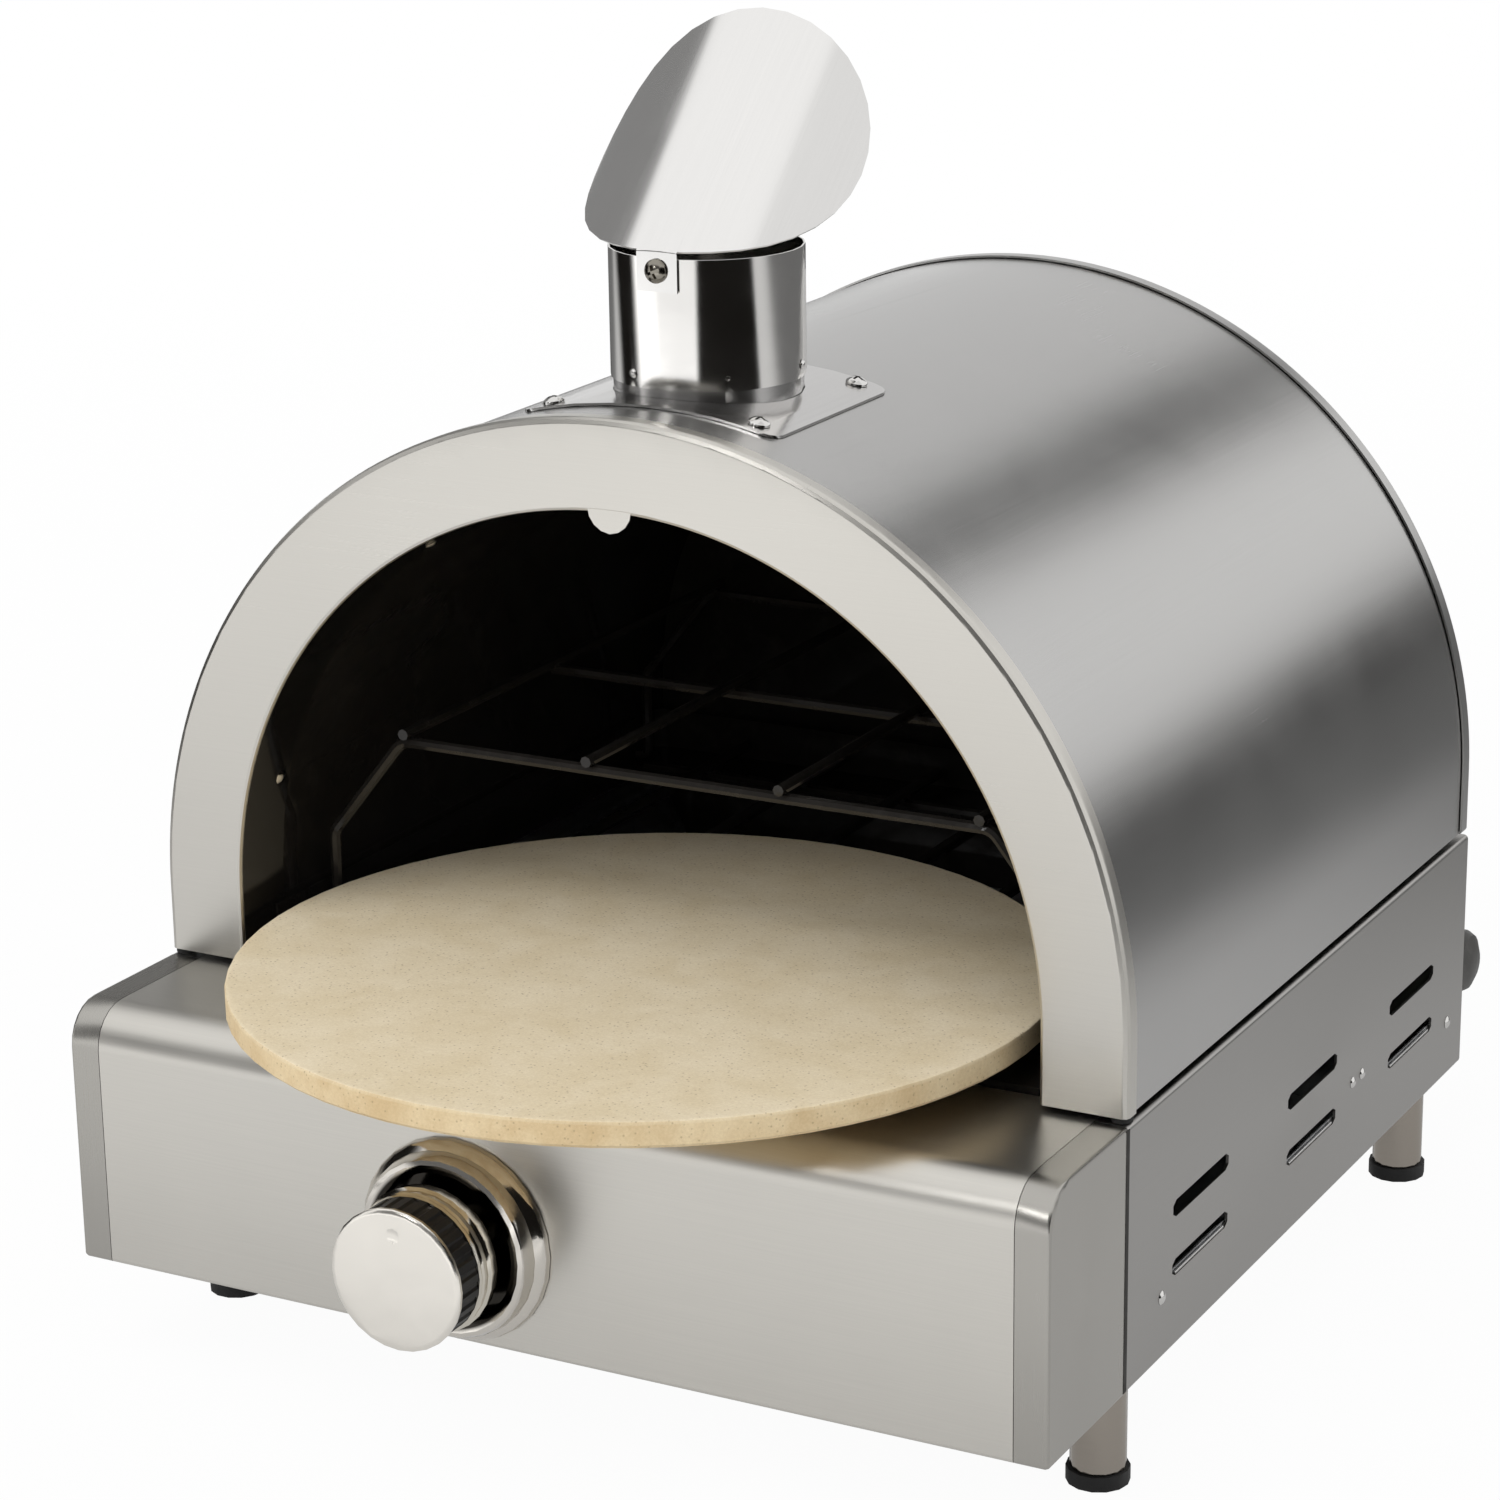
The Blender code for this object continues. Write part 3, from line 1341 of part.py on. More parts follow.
bezel_floor = seat_gap + panel_sheet
bezel_profile = [(bezel_bore, bezel_height - seat_gap * 3)]
bezel_profile += [(bezel_radius * r, bezel_height * z) for r, z in bezel_shares]
bezel_profile += [
    (bezel_radius, seat_gap), (bezel_hole, seat_gap), (bezel_hole, bezel_floor),
    (bezel_bore - bezel_floor, bezel_floor), (bezel_bore, 2 * bezel_floor),
]
turned("knob_bezel", POLISHED, bezel_profile, base, knob_place, back_turn, ring=True)
stem_profile = [(0, stem_tip), (stem_radius, stem_tip), (stem_radius, -stem_tail), (0, -stem_tail)]
turned("valve_stem", BRASS, stem_profile, stem, knob_place, back_turn, steps=12)
stem_bore = stem_radius + seat_gap
core_top = skirt_height + seat_gap + grip_height
skirt_low = knob_start + skirt_rise
skirt_inner = skirt_radius - skirt_shell
skirt_profile = [(0, core_top), (skirt_core_radius, core_top), (skirt_core_radius, skirt_height)]
skirt_profile += [(skirt_radius * r, skirt_height * z) for r, z in skirt_shares]
skirt_profile += [
    (skirt_radius - seat_gap * 2, skirt_low), (skirt_inner, skirt_low),
    (skirt_inner, skirt_height - skirt_roof),
    (skirt_boss_radius, skirt_height - skirt_roof), (skirt_boss_radius, knob_start),
    (stem_bore, knob_start), (stem_bore, stem_tip + seat_gap), (0, stem_tip + seat_gap),
]
turned("knob_skirt", POLISHED, skirt_profile, knob, knob_place, back_turn)
grip_outline = []
for rib in range(grip_ribs):
    for share, depth in rib_shares:
        angle = math.tau * (rib + share) / grip_ribs
        reach = grip_radius - grip_rib_depth * depth
        grip_outline.append((reach * math.cos(angle), reach * math.sin(angle)))
grip_place = (knob_x, -console_depth - skirt_height - seat_gap - grip_height / 2, -knob_depth)
grip_hole = circle(skirt_core_radius + seat_gap, knob_steps)
plate("knob_grip", BLACK_PLASTIC, [grip_outline, grip_hole], grip_height, knob, grip_place, back_turn)
face_top = knob_front + face_height
face_profile = [
    (0, face_top), (face_radius - face_edge * 3, face_top),
    (face_radius - face_edge, face_top - face_edge / 2),
    (face_radius, face_top - face_edge * 1.5), (face_radius, knob_front + face_edge / 2),
    (face_radius - face_edge / 2, knob_front), (0, knob_front),
]
face = turned("knob_face", POLISHED, face_profile, knob, knob_place, back_turn)
mark_bm = bmesh.new()
ball_height = (mark_radius ** 2 - mark_depth ** 2) / (2 * mark_depth)
ball_radius = ball_height + mark_depth
bmesh.ops.create_uvsphere(mark_bm, u_segments=24, v_segments=64, radius=ball_radius)
mark_place_3d = (knob_x, -console_depth - face_top - ball_height, -knob_depth + mark_place)
combine(face, cutter("pointer_mark", mark_bm, knob, mark_place_3d), "DIFFERENCE")


# Hinges: a leaf on the hood, a leaf on the base and a pin through their knuckles

def prism_along_x(bm, outline, low, high):
    """Add a solid with a flat outline in y and z, from one x to another."""
    made = bmesh.new()
    prism(made, [(y, z) for y, z in outline], low, high)
    mesh = as_mesh(made, "prism")
    mesh.transform(Matrix(((0, 0, 1, 0), (1, 0, 0, 0), (0, 1, 0, 0), (0, 0, 0, 1))))
    bm.from_mesh(mesh)
    bpy.data.meshes.remove(mesh)


def hinge_leaf_piece(name, side, upward, carrier, screw_holes):
    """A leaf on the rear wall, rolled into knuckles: two outer ones below, the middle one above."""
    touch = math.degrees(math.acos((hinge_barrel - hinge_sheet) / hinge_barrel))
    outline = [(-hinge_barrel, hinge_leaf), (hinge_sheet - hinge_barrel, hinge_leaf)]
    outline += arc((0, 0), hinge_barrel, 180 - touch, -180, hinge_steps)
    outline = [(y, upward * z) for y, z in outline]
    bm = bmesh.new()
    prism_along_x(bm, outline, -hinge_width / 2, hinge_width / 2)
    spot = (side * hinge_x, hinge_y, 0)
    obj = smooth(piece(name, as_mesh(bm, name), SATIN, carrier, spot))
    bore_bm = bmesh.new()
    prism_along_x(bore_bm, circle(hinge_bore, hinge_steps), -hinge_width, hinge_width)
    cut_all(obj, cutter(name + "_bore", bore_bm, carrier, spot))
    middle = hinge_width / 2 - hinge_knuckle
    spans = [(-middle, middle)]
    if upward > 0:
        spans = [(-hinge_width, seat_gap - middle), (middle - seat_gap, hinge_width)]
    reach = hinge_barrel + hinge_leaf_clearance
    for number, (low, high) in enumerate(spans):
        space = block((low, -reach, -reach), (high, reach, reach))
        cut_all(obj, cutter("%s_space_%d" % (name, number), space, carrier, spot))
    return cut_all(obj, screw_holes)


pin_half = hinge_width / 2 + seat_gap
pin_end = pin_half + hinge_pin_head_height
pin_profile = [
    (0, pin_end), (hinge_pin_head, pin_end), (hinge_pin_head, pin_half), (hinge_pin_radius, pin_half),
    (hinge_pin_radius, -pin_half), (hinge_pin_head, -pin_half), (hinge_pin_head, -pin_end), (0, -pin_end),
]
for word, side in (("left", -1), ("right", 1)):
    hinge_leaf_piece("hinge_leaf_hood_" + word, side, 1, hood, holes_hood)
    hinge_leaf_piece("hinge_leaf_base_" + word, side, -1, base, holes_hinge)
    turned("hinge_pin_" + word, SATIN, pin_profile, base, (side * hinge_x, hinge_y, 0), axle_turn, steps=12)


# Rear handle: a round grip on two angle brackets

dome_steps = 3
dome = []
for i in range(dome_steps + 1):
    angle = math.pi / 2 * (1 - i / dome_steps)
    dome.append((grip_bar_radius * math.cos(angle), grip_bar_half + grip_bar_dome * math.sin(angle)))
dome[0] = (0, grip_bar_half + grip_bar_dome)
grip_profile = dome + [(r, -z) for r, z in reversed(dome)]
grip_spot = (0, handle_y, -handle_depth)
grip_bar = turned("handle_grip", GREY_PLASTIC, grip_profile, base, grip_spot, axle_turn, steps=grip_bar_steps)
cut_all(grip_bar, holes_grip)
arm_corners = [
    (0, rear_seat, arm_top - arm_foot), (0, rear_seat, arm_top), (0, handle_y + arm_overhang, arm_top),
]
for word, side in (("left", -1), ("right", 1)):
    arm = bent_sheet(
        "handle_bracket_" + word, SATIN, rounded(arm_corners, arm_bend), (2 * arm_half, 0, 0), arm_sheet,
        (0, -1, 0), base, (side * arm_x - arm_half, 0, 0),
    )
    cut_all(arm, holes_arm, holes_grip)


# Bumpers under the hood's front corners

bumper_profile = [
    (0, hood_lift - seat_gap), (bumper_radius, hood_lift - seat_gap),
    (bumper_radius, seat_gap), (0, seat_gap),
]
bumper_offset = bumper_radius + bumper_inset
for word, side in (("left", -1), ("right", 1)):
    spot = (side * (half_width - bumper_offset), bumper_offset, 0)
    turned("hood_bumper_" + word, RUBBER, bumper_profile, base, spot, steps=bumper_steps)
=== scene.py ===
"""Looks of the gas pizza oven: camera, studio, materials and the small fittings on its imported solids."""

import math

import bmesh
import bpy
from mathutils import Matrix, Vector


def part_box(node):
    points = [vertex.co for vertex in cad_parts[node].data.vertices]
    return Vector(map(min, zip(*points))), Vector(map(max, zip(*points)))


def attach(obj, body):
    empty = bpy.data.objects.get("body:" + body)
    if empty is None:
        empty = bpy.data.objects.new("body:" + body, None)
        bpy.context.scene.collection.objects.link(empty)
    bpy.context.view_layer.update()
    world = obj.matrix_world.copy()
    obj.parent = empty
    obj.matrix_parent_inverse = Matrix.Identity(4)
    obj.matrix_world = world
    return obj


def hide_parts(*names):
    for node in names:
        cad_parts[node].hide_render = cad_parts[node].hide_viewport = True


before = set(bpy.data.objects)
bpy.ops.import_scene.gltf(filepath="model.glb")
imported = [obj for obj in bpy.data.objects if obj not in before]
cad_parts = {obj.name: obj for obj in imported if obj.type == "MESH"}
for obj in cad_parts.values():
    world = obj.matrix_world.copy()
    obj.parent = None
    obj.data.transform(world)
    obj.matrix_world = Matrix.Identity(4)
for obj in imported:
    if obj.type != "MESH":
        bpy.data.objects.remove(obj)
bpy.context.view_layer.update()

# Places in the solids, in metres. The oven's own frame has its zero on the deck, at the hood's front.
FRAME_Y, FRAME_Z = -0.14225, 0.152
HALF_WIDTH = 0.215
ARCH_Z = FRAME_Z + 0.0307
ARCH_STEP = math.pi / 28
SADDLE_RADIUS = 0.2145
MOUTH_RADIUS = 0.1786
FLUE_Y, FLUE_RADIUS = FRAME_Y + 0.079, 0.0382
REAR_Y = FRAME_Y + 0.3823
KNOB_X, KNOB_Z = -0.034, FRAME_Z - 0.065

# Distance from a face to a fitting on it, and at which coinciding points merge
LIFT = 0.0001
WELD = 0.000004
# Angles between faces over which an edge stays sharp, on the solids and on the fittings
SHARP_SOLID, SHARP_FITTING = math.radians(32), math.radians(40)


def at(x, y, z):
    """A place given in the oven's own frame."""
    return Vector((x, y + FRAME_Y, z + FRAME_Z))


# Camera, at the photograph's viewing angle

def set_camera():
    """A long lens, right of the mouth and above it."""
    azimuth, elevation, roll = math.radians(27.56), math.radians(17.42), math.radians(-0.54)
    level = math.cos(elevation)
    back = Vector((math.sin(azimuth) * level, -math.cos(azimuth) * level, math.sin(elevation)))
    right = Vector((math.cos(azimuth), math.sin(azimuth), 0))
    up = back.cross(right)
    side = math.cos(roll) * right + math.sin(roll) * up
    top = math.cos(roll) * up - math.sin(roll) * right
    data = bpy.data.cameras.new("camera")
    data.sensor_width = 36
    data.lens = 98.79
    data.shift_x = -0.0461
    data.shift_y = 0.0182
    data.clip_end = 30
    camera = bpy.data.objects.new("camera", data)
    bpy.context.scene.collection.objects.link(camera)
    turn = Matrix((side, top, back)).transposed()
    camera.matrix_world = Matrix.Translation((0.7652, -1.43985, 0.7288)) @ turn.to_4x4()
    bpy.context.scene.camera = camera


set_camera()


# Node graphs

class Tree:
    """A node tree with short calls for its nodes."""

    def __init__(self, tree):
        self.tree = tree

    def feed(self, socket, value):
        """Give an input a value, or link it to an output."""
        if isinstance(value, bpy.types.NodeSocket):
            self.tree.links.new(value, socket)
        elif isinstance(value, tuple) and len(value) == 3 and socket.type == "RGBA":
            socket.default_value = (*value, 1.0)
        else:
            socket.default_value = value

    def put(self, kind, values, **settings):
        """Add a node with its settings, and feed its inputs."""
        node = self.tree.nodes.new(kind)
        for key, value in settings.items():
            setattr(node, key, value)
        for label, value in values.items():
            self.feed(node.inputs[label], value)
        return node

    def calc(self, operation, a, b=0.0):
        """One sum on one or two values."""
        return self.put("ShaderNodeMath", {0: a, 1: b}, operation=operation).outputs[0]

    def split(self, vector):
        """The vector's x, y and z."""
        return self.put("ShaderNodeSeparateXYZ", {0: vector}).outputs

    def span(self, value, low, high, to_low=0.0, to_high=1.0, run="LINEAR"):
        """Map one range of values to another and hold it at its ends."""
        ends = {"Value": value, "From Min": low, "From Max": high, "To Min": to_low, "To Max": to_high}
        return self.put("ShaderNodeMapRange", ends, interpolation_type=run).outputs["Result"]


class Graph(Tree):
    """A material: settings that are the same all over, and nodes that feed the rest."""

    def __init__(self, name, **settings):
        self.material = bpy.data.materials.new(name)
        self.material.use_nodes = True
        super().__init__(self.material.node_tree)
        self.shader = self.tree.nodes["Principled BSDF"]
        self.set(**settings)

    def set(self, **values):
        """Feed the shader's inputs."""
        for label, value in values.items():
            self.feed(self.shader.inputs[label.replace("_", " ")], value)

    def fed(self, label):
        """What one of the shader's inputs is linked to."""
        return self.shader.inputs[label].links[0].from_socket

    def place(self):
        """The surface point's x, y and z, in the object's resting frame."""
        return self.split(self.put("ShaderNodeTexCoord", {}).outputs["Object"])

    def coordinates(self, scale, lean):
        """The surface point, leaned about x and scaled: a number for all axes, or one for each."""
        place = self.put("ShaderNodeTexCoord", {}).outputs["Object"]
        if lean:
            spin = {"Vector": place, "Angle": -lean}
            place = self.put("ShaderNodeVectorRotate", spin, rotation_type="X_AXIS").outputs["Vector"]
        scale = scale if isinstance(scale, tuple) else (scale,) * 3
        return self.put("ShaderNodeMapping", {"Vector": place, "Scale": scale}).outputs["Vector"]

    def noise(self, scale, detail=2.0, roughness=0.5, warp=0.0, lean=0.0):
        """Noise with about so many waves to the metre."""
        place = self.coordinates(scale, lean)
        values = {"Vector": place, "Scale": 1.0, "Detail": detail, "Roughness": roughness, "Distortion": warp}
        return self.put("ShaderNodeTexNoise", values).outputs["Fac"]

    def cells(self, scale, output):
        """Cells, so many to the metre."""
        values = {"Vector": self.coordinates(scale, 0.0), "Scale": 1.0}
        return self.put("ShaderNodeTexVoronoi", values).outputs[output]

    def curve(self, value, points):
        """A smooth run through (place, level) pairs."""
        low, high = points[0][0], points[-1][0]
        top = max(level for place, level in points)
        ramp = self.put("ShaderNodeValToRGB", {"Fac": self.span(value, low, high)})
        ramp.color_ramp.interpolation = "B_SPLINE"
        stops = ramp.color_ramp.elements
        while len(stops) < len(points):
            stops.new(0.5)
        for stop, (place, level) in zip(stops, points):
            stop.position = (place - low) / (high - low)
            stop.color = (level / top, level / top, level / top, 1.0)
        return self.calc("MULTIPLY", ramp.outputs["Color"], top)

    def reach(self, a, b):
        """Length of the vector with the parts a and b."""
        squares = self.calc("ADD", self.calc("MULTIPLY", a, a), self.calc("MULTIPLY", b, b))
        return self.calc("POWER", squares, 0.5)

    def mix(self, share, a, b, blend="MIX"):
        """Blend a share of the colour b into the colour a."""
        values = {"Factor": share, 6: a, 7: b}
        return self.put("ShaderNodeMix", values, data_type="RGBA", blend_type=blend).outputs[2]

    def bump(self, height, strength, distance):
        """Relief for the shader's normal."""
        values = {"Height": height, "Strength": strength, "Distance": distance}
        return self.put("ShaderNodeBump", values).outputs["Normal"]

    def show(self, share, under, over):
        """Show one shader over another, by its share."""
        both = self.put("ShaderNodeMixShader", {0: share, 1: under, 2: over})
        self.feed(self.tree.nodes["Material Output"].inputs["Surface"], both.outputs[0])


class Group(Tree):
    """Geometry nodes that a mesh passes one after the other."""

    def __init__(self, name):
        super().__init__(bpy.data.node_groups.new(name, "GeometryNodeTree"))
        for way in ("INPUT", "OUTPUT"):
            self.tree.interface.new_socket("Geometry", in_out=way, socket_type="NodeSocketGeometry")
        self.mesh = self.put("NodeGroupInput", {}).outputs[0]

    def step(self, kind, values, **settings):
        """Pass the mesh through one more node."""
        self.mesh = self.put(kind, {0: self.mesh, **values}, **settings).outputs[0]

    def close(self):
        """Give the mesh out and return the finished tree."""
        self.put("NodeGroupOutput", {0: self.mesh})
        return self.tree


# Materials

# Ways of brushing: along x, along y, and over y and z alike
ALONG_X, ALONG_Y, ALONG_YZ = (1, 0, 0), (0, 1, 0), (0, 1, 1)
# Hairlines and longer streaks: waves to the metre along the brushing and across it
HAIR_WAVES, STREAK_WAVES = (26, 5200), (5, 900)


def shade(colour, factor):
    """The colour, made darker or paler."""
    return tuple(min(1.0, c * factor) for c in colour)


def brushed_graph(name, colour, along, rough=0.30, grain=0.035, cloud=0.03, tangent="Z", anisotropy=0.4,
                  lean=0.0, spread=0.03, relief=0.0000009):
    """Brushed steel: fine hairlines along one way, faint longer streaks and soft handling marks."""
    g = Graph(name, Metallic=1.0, Anisotropic=anisotropy)
    hair, streak = (
        g.noise(tuple(waves[0] if way else waves[1] for way in along), detail, roughness=0.6, lean=lean)
        for waves, detail in ((HAIR_WAVES, 2.0), (STREAK_WAVES, 3.0))
    )
    marks = g.noise(10, detail=3.0, warp=0.5)
    line = g.calc("ADD", g.span(hair, 0.3, 0.7, 0.0, 0.6), g.span(streak, 0.3, 0.7, 0.0, 0.4))
    tone = g.mix(line, shade(colour, 1 - grain), shade(colour, 1 + grain))
    dull = g.mix(1.0, tone, (1 - cloud,) * 3, "MULTIPLY")
    g.set(
        Base_Color=g.mix(g.span(marks, 0.35, 0.65), dull, tone),
        Roughness=g.calc("ADD", g.span(line, 0.0, 1.0, rough - spread, rough + spread),
                         g.span(marks, 0.3, 0.7, -0.015, 0.02)),
        Normal=g.bump(hair, 1.0, relief),
        Tangent=g.put("ShaderNodeTangent", {}, direction_type="RADIAL", axis=tangent).outputs[0],
    )
    return g


def brushed(*values, **settings):
    """The material of a brushed_graph."""
    return brushed_graph(*values, **settings).material


def lined_ring(name, colour):
    """The mouth's ring: brushed steel in front, black enamel on the lip that turns into the oven."""
    g = brushed_graph(name, colour, ALONG_X, grain=0.03, tangent="Y")
    x, y, z = g.place()
    radius = g.reach(x, g.calc("MAXIMUM", g.calc("SUBTRACT", z, ARCH_Z), 0.0))
    inside = g.calc("MULTIPLY", g.span(radius, MOUTH_RADIUS + 0.0004, MOUTH_RADIUS + 0.0006, 1.0, 0.0),
                    g.span(y, FRAME_Y + 0.0018, FRAME_Y + 0.0022))
    outside = g.calc("SUBTRACT", 1.0, inside)
    steel_rough = g.calc("MULTIPLY", g.fed("Roughness"), outside)
    g.set(
        Base_Color=g.mix(inside, g.fed("Base Color"), (0.011, 0.010, 0.009)),
        Roughness=g.calc("ADD", steel_rough, g.calc("MULTIPLY", inside, 0.1)),
        Metallic=outside,
    )
    return g.material


def polished_graph(name, colour=(0.80, 0.785, 0.76), rough=(0.05, 0.11), ripple=0.00003):
    """Bright metal with faint smears, fine scratches and a slightly uneven surface."""
    g = Graph(name, Metallic=1.0)
    smear = g.noise((35, 35, 60), detail=3.0, warp=0.8)
    speck = g.noise(1800, detail=1.0)
    g.set(
        Base_Color=g.mix(g.span(smear, 0.3, 0.7), shade(colour, 0.95), colour),
        Roughness=g.calc("ADD", g.span(smear, 0.3, 0.7, *rough), g.span(speck, 0.6, 0.8, 0.0, 0.04)),
        Normal=g.bump(g.calc("ADD", speck, g.noise(260)), 0.25, ripple),
    )
    return g


def polished(*values, **settings):
    """The material of a polished_graph."""
    return polished_graph(*values, **settings).material


def dished_bezel(name, colour, rough):
    """Polished bezel, painted dark in the recess round the knob: painted shade."""
    g = polished_graph(name, colour, rough)
    x, _, z = g.place()
    radius = g.reach(g.calc("SUBTRACT", x, KNOB_X), g.calc("SUBTRACT", z, KNOB_Z))
    # Painted shade: the colour turns nearly black in the recess round the knob
    painted_recess_shade = g.span(radius, 0.0325, 0.0338, 1.0, 0.0)
    g.set(Base_Color=g.mix(painted_recess_shade, g.fed("Base Color"), (0.035, 0.032, 0.028)))
    return g.material


def enamel(name):
    """Glossy black enamel with a gently uneven surface and dusty patches."""
    g = Graph(name, Specular_IOR_Level=0.4)
    peel = g.noise(90)
    wave = g.noise(16, detail=1.0)
    dust = g.noise(45, detail=4.0, roughness=0.7)
    g.set(
        Base_Color=g.mix(g.span(dust, 0.5, 0.8), (0.016, 0.0143, 0.0127), (0.030, 0.0265, 0.0235)),
        Roughness=g.span(dust, 0.35, 0.8, 0.05, 0.13),
        Normal=g.bump(g.calc("ADD", g.calc("MULTIPLY", wave, 3.0), peel), 0.3, 0.0004),
    )
    return g.material


def zinc(name, colour=(0.56, 0.57, 0.58)):
    """Galvanised sheet with its crystal pattern."""
    g = Graph(name, Metallic=1.0)
    flake = g.span(g.cells(110, "Color"), 0.0, 1.0)
    g.set(
        Base_Color=g.mix(flake, shade(colour, 0.86), shade(colour, 1.08)),
        Roughness=g.span(flake, 0.0, 1.0, 0.34, 0.52),
        Normal=g.bump(flake, 0.12, 0.00005),
    )
    return g.material


def brass(name):
    """Turned brass, dulled in places."""
    g = Graph(name, Metallic=1.0)
    turned = g.noise((900, 60, 900))
    dull = g.noise(70, detail=3.0)
    g.set(
        Base_Color=g.mix(g.span(dull, 0.4, 0.7), (0.74, 0.57, 0.30), (0.55, 0.42, 0.22)),
        Roughness=g.span(dull, 0.3, 0.7, 0.24, 0.42),
        Normal=g.bump(turned, 0.2, 0.00004),
    )
    return g.material


def moulded(name, colour, rough=(0.6, 0.8), depth=0.00006):
    """Moulded rubber or plastic: fine grain, scuffs and paler worn patches."""
    g = Graph(name)
    grain = g.noise(1400)
    scuff = g.noise(60, detail=4.0, roughness=0.7, warp=0.5)
    g.set(
        Base_Color=g.mix(g.span(scuff, 0.5, 0.75), colour, shade(colour, 1.7)),
        Roughness=g.span(scuff, 0.35, 0.7, *rough),
        Normal=g.bump(grain, 0.35, depth),
    )
    return g.material


def baked_stone(name):
    """Rough cordierite: cream, with grains, small pits and tan mottling; its sides are coloured darker and
    more tan than its top, partly as painted shade.
    """
    g = Graph(name, Specular_IOR_Level=0.3)
    grain = g.noise(900, detail=3.0, roughness=0.7)
    mottle = g.span(g.noise(38, detail=4.0, roughness=0.6, warp=0.4), 0.35, 0.65)
    flecks = g.cells(420, "Distance")
    # Partly painted shade: the sides get darker, more tan colours than the top
    lit_top_share = g.span(g.split(g.put("ShaderNodeNewGeometry", {}).outputs["True Normal"])["Z"], 0.2, 0.8)
    side = g.mix(mottle, (0.70, 0.53, 0.305), (0.83, 0.68, 0.44))
    top = g.mix(mottle, (0.83, 0.705, 0.49), (0.90, 0.785, 0.58))
    tone = g.mix(lit_top_share, side, top)
    tone = g.mix(g.span(flecks, 0.10, 0.22, 0.55, 0.0), tone, (0.40, 0.29, 0.17))
    g.set(
        Base_Color=g.mix(g.span(grain, 0.35, 0.7), g.mix(1.0, tone, (0.90, 0.88, 0.85), "MULTIPLY"), tone),
        Roughness=g.span(grain, 0.3, 0.7, 0.74, 0.92),
        Normal=g.bump(g.calc("ADD", grain, g.span(flecks, 0.0, 0.25, -0.6, 0.0)), 0.5, 0.00022),
    )
    return g.material


def glazed(name):
    """Glazed ceramic with a few stains."""
    g = Graph(name, Coat_Weight=0.5)
    spot = g.noise(160, detail=3.0)
    g.set(
        Base_Color=g.mix(g.span(spot, 0.45, 0.75), (0.84, 0.82, 0.76), (0.66, 0.60, 0.50)),
        Roughness=g.span(spot, 0.3, 0.7, 0.18, 0.34),
        Normal=g.bump(spot, 0.15, 0.0001),
    )
    return g.material


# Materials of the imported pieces

WARM = (0.665, 0.645, 0.600)
# Darker steel for the side and back panels: it paints part of their shade, the reflections give the rest
SIDE = (0.42, 0.41, 0.395)
HOOD = (0.52, 0.515, 0.505)
RUBBER = (0.014, 0.014, 0.014)
CAP_LEAN = math.radians(42.7)

flue_chrome = polished("flue_chrome", (0.90, 0.885, 0.86), (0.09, 0.13), 0.00002)
screw_steel = polished("screw_steel", (0.74, 0.73, 0.71), (0.10, 0.18))
screw_dark = polished("screw_dark", (0.30, 0.28, 0.24), (0.12, 0.22))
looks = {
    "console_panel": brushed("console_steel", shade(WARM, 1.06), ALONG_X, 0.33, tangent="X"),
    "front_ring": lined_ring("ring_steel", shade(WARM, 0.95)),
    "hood_skin": brushed("hood_steel", HOOD, ALONG_Y, 0.25, grain=0.02, tangent="Y", anisotropy=0.3,
                         spread=0.01, relief=0.0000003),
    "hood_back": brushed("hood_back_steel", HOOD, ALONG_X, tangent="Y"),
    "back_panel": brushed("back_steel", SIDE, ALONG_X, 0.34, tangent="X"),
    "chimney_plate": brushed("saddle_steel", (0.66, 0.65, 0.64), ALONG_Y, 0.17),
    "flue_collar": brushed("collar_steel", (0.62, 0.61, 0.60), ALONG_X, 0.20),
    "rain_cap": brushed("cap_steel", (0.84, 0.83, 0.815), ALONG_Y, 0.14, grain=0.02, cloud=0.01, tangent="X",
                        lean=CAP_LEAN),
    "flue_tube": flue_chrome,
    "knob_face": polished("knob_face_chrome", (0.92, 0.885, 0.82), (0.19, 0.23)),
    "knob_skirt": polished("knob_skirt_chrome", (0.72, 0.68, 0.60), (0.07, 0.12)),
    "knob_bezel": dished_bezel("bezel_chrome", (0.74, 0.705, 0.65), (0.08, 0.12)),
    "pizza_stone": baked_stone("cordierite"),
    "knob_grip": moulded("grip_black", (0.010, 0.010, 0.011), (0.38, 0.52)),
    "handle_grip": moulded("handle_grey", (0.075, 0.073, 0.069), (0.38, 0.52), 0.0001),
    "ignition_electrode": glazed("electrode_ceramic"),
    "ignition_wire": moulded("wire_cover", (0.016, 0.015, 0.015), (0.38, 0.52)),
}
for corner in ("front_left", "front_right", "rear_left", "rear_right"):
    # The feet's steel is darker and warmer: partly painted shade, for the dark they reflect from under the
    # base
    looks["foot_" + corner] = brushed("foot_steel_" + corner, (0.40, 0.362, 0.318), ALONG_X, 0.16)
    looks["foot_pad_" + corner] = moulded("foot_rubber_" + corner, RUBBER)
# The console's ends get darker copies of the console's steel, the right one darker still: painted shade
for side, painted_end_shade in (("left", 0.72), ("right", 0.70)):
    looks["console_end_" + side] = brushed("end_steel_" + side, shade(WARM, painted_end_shade), ALONG_YZ, 0.26,
                                           grain=0.02, tangent="X", spread=0.012)
    looks["side_panel_" + side] = brushed("side_steel_" + side, SIDE, ALONG_Y, 0.34, tangent="X")
    looks["hood_bumper_" + side] = moulded("bumper_rubber_" + side, RUBBER)
    looks["handle_bracket_" + side] = zinc("bracket_zinc_" + side, (0.62, 0.62, 0.61))
    looks["firebox_stay_" + side] = zinc("stay_zinc_" + side)
    looks["hinge_pin_" + side] = polished("hinge_pin_" + side)
    for word in ("base", "hood"):
        looks["hinge_leaf_%s_%s" % (word, side)] = brushed("hinge_%s_%s" % (word, side), (0.62, 0.61, 0.59),
                                                           ALONG_X, 0.25, tangent="X")
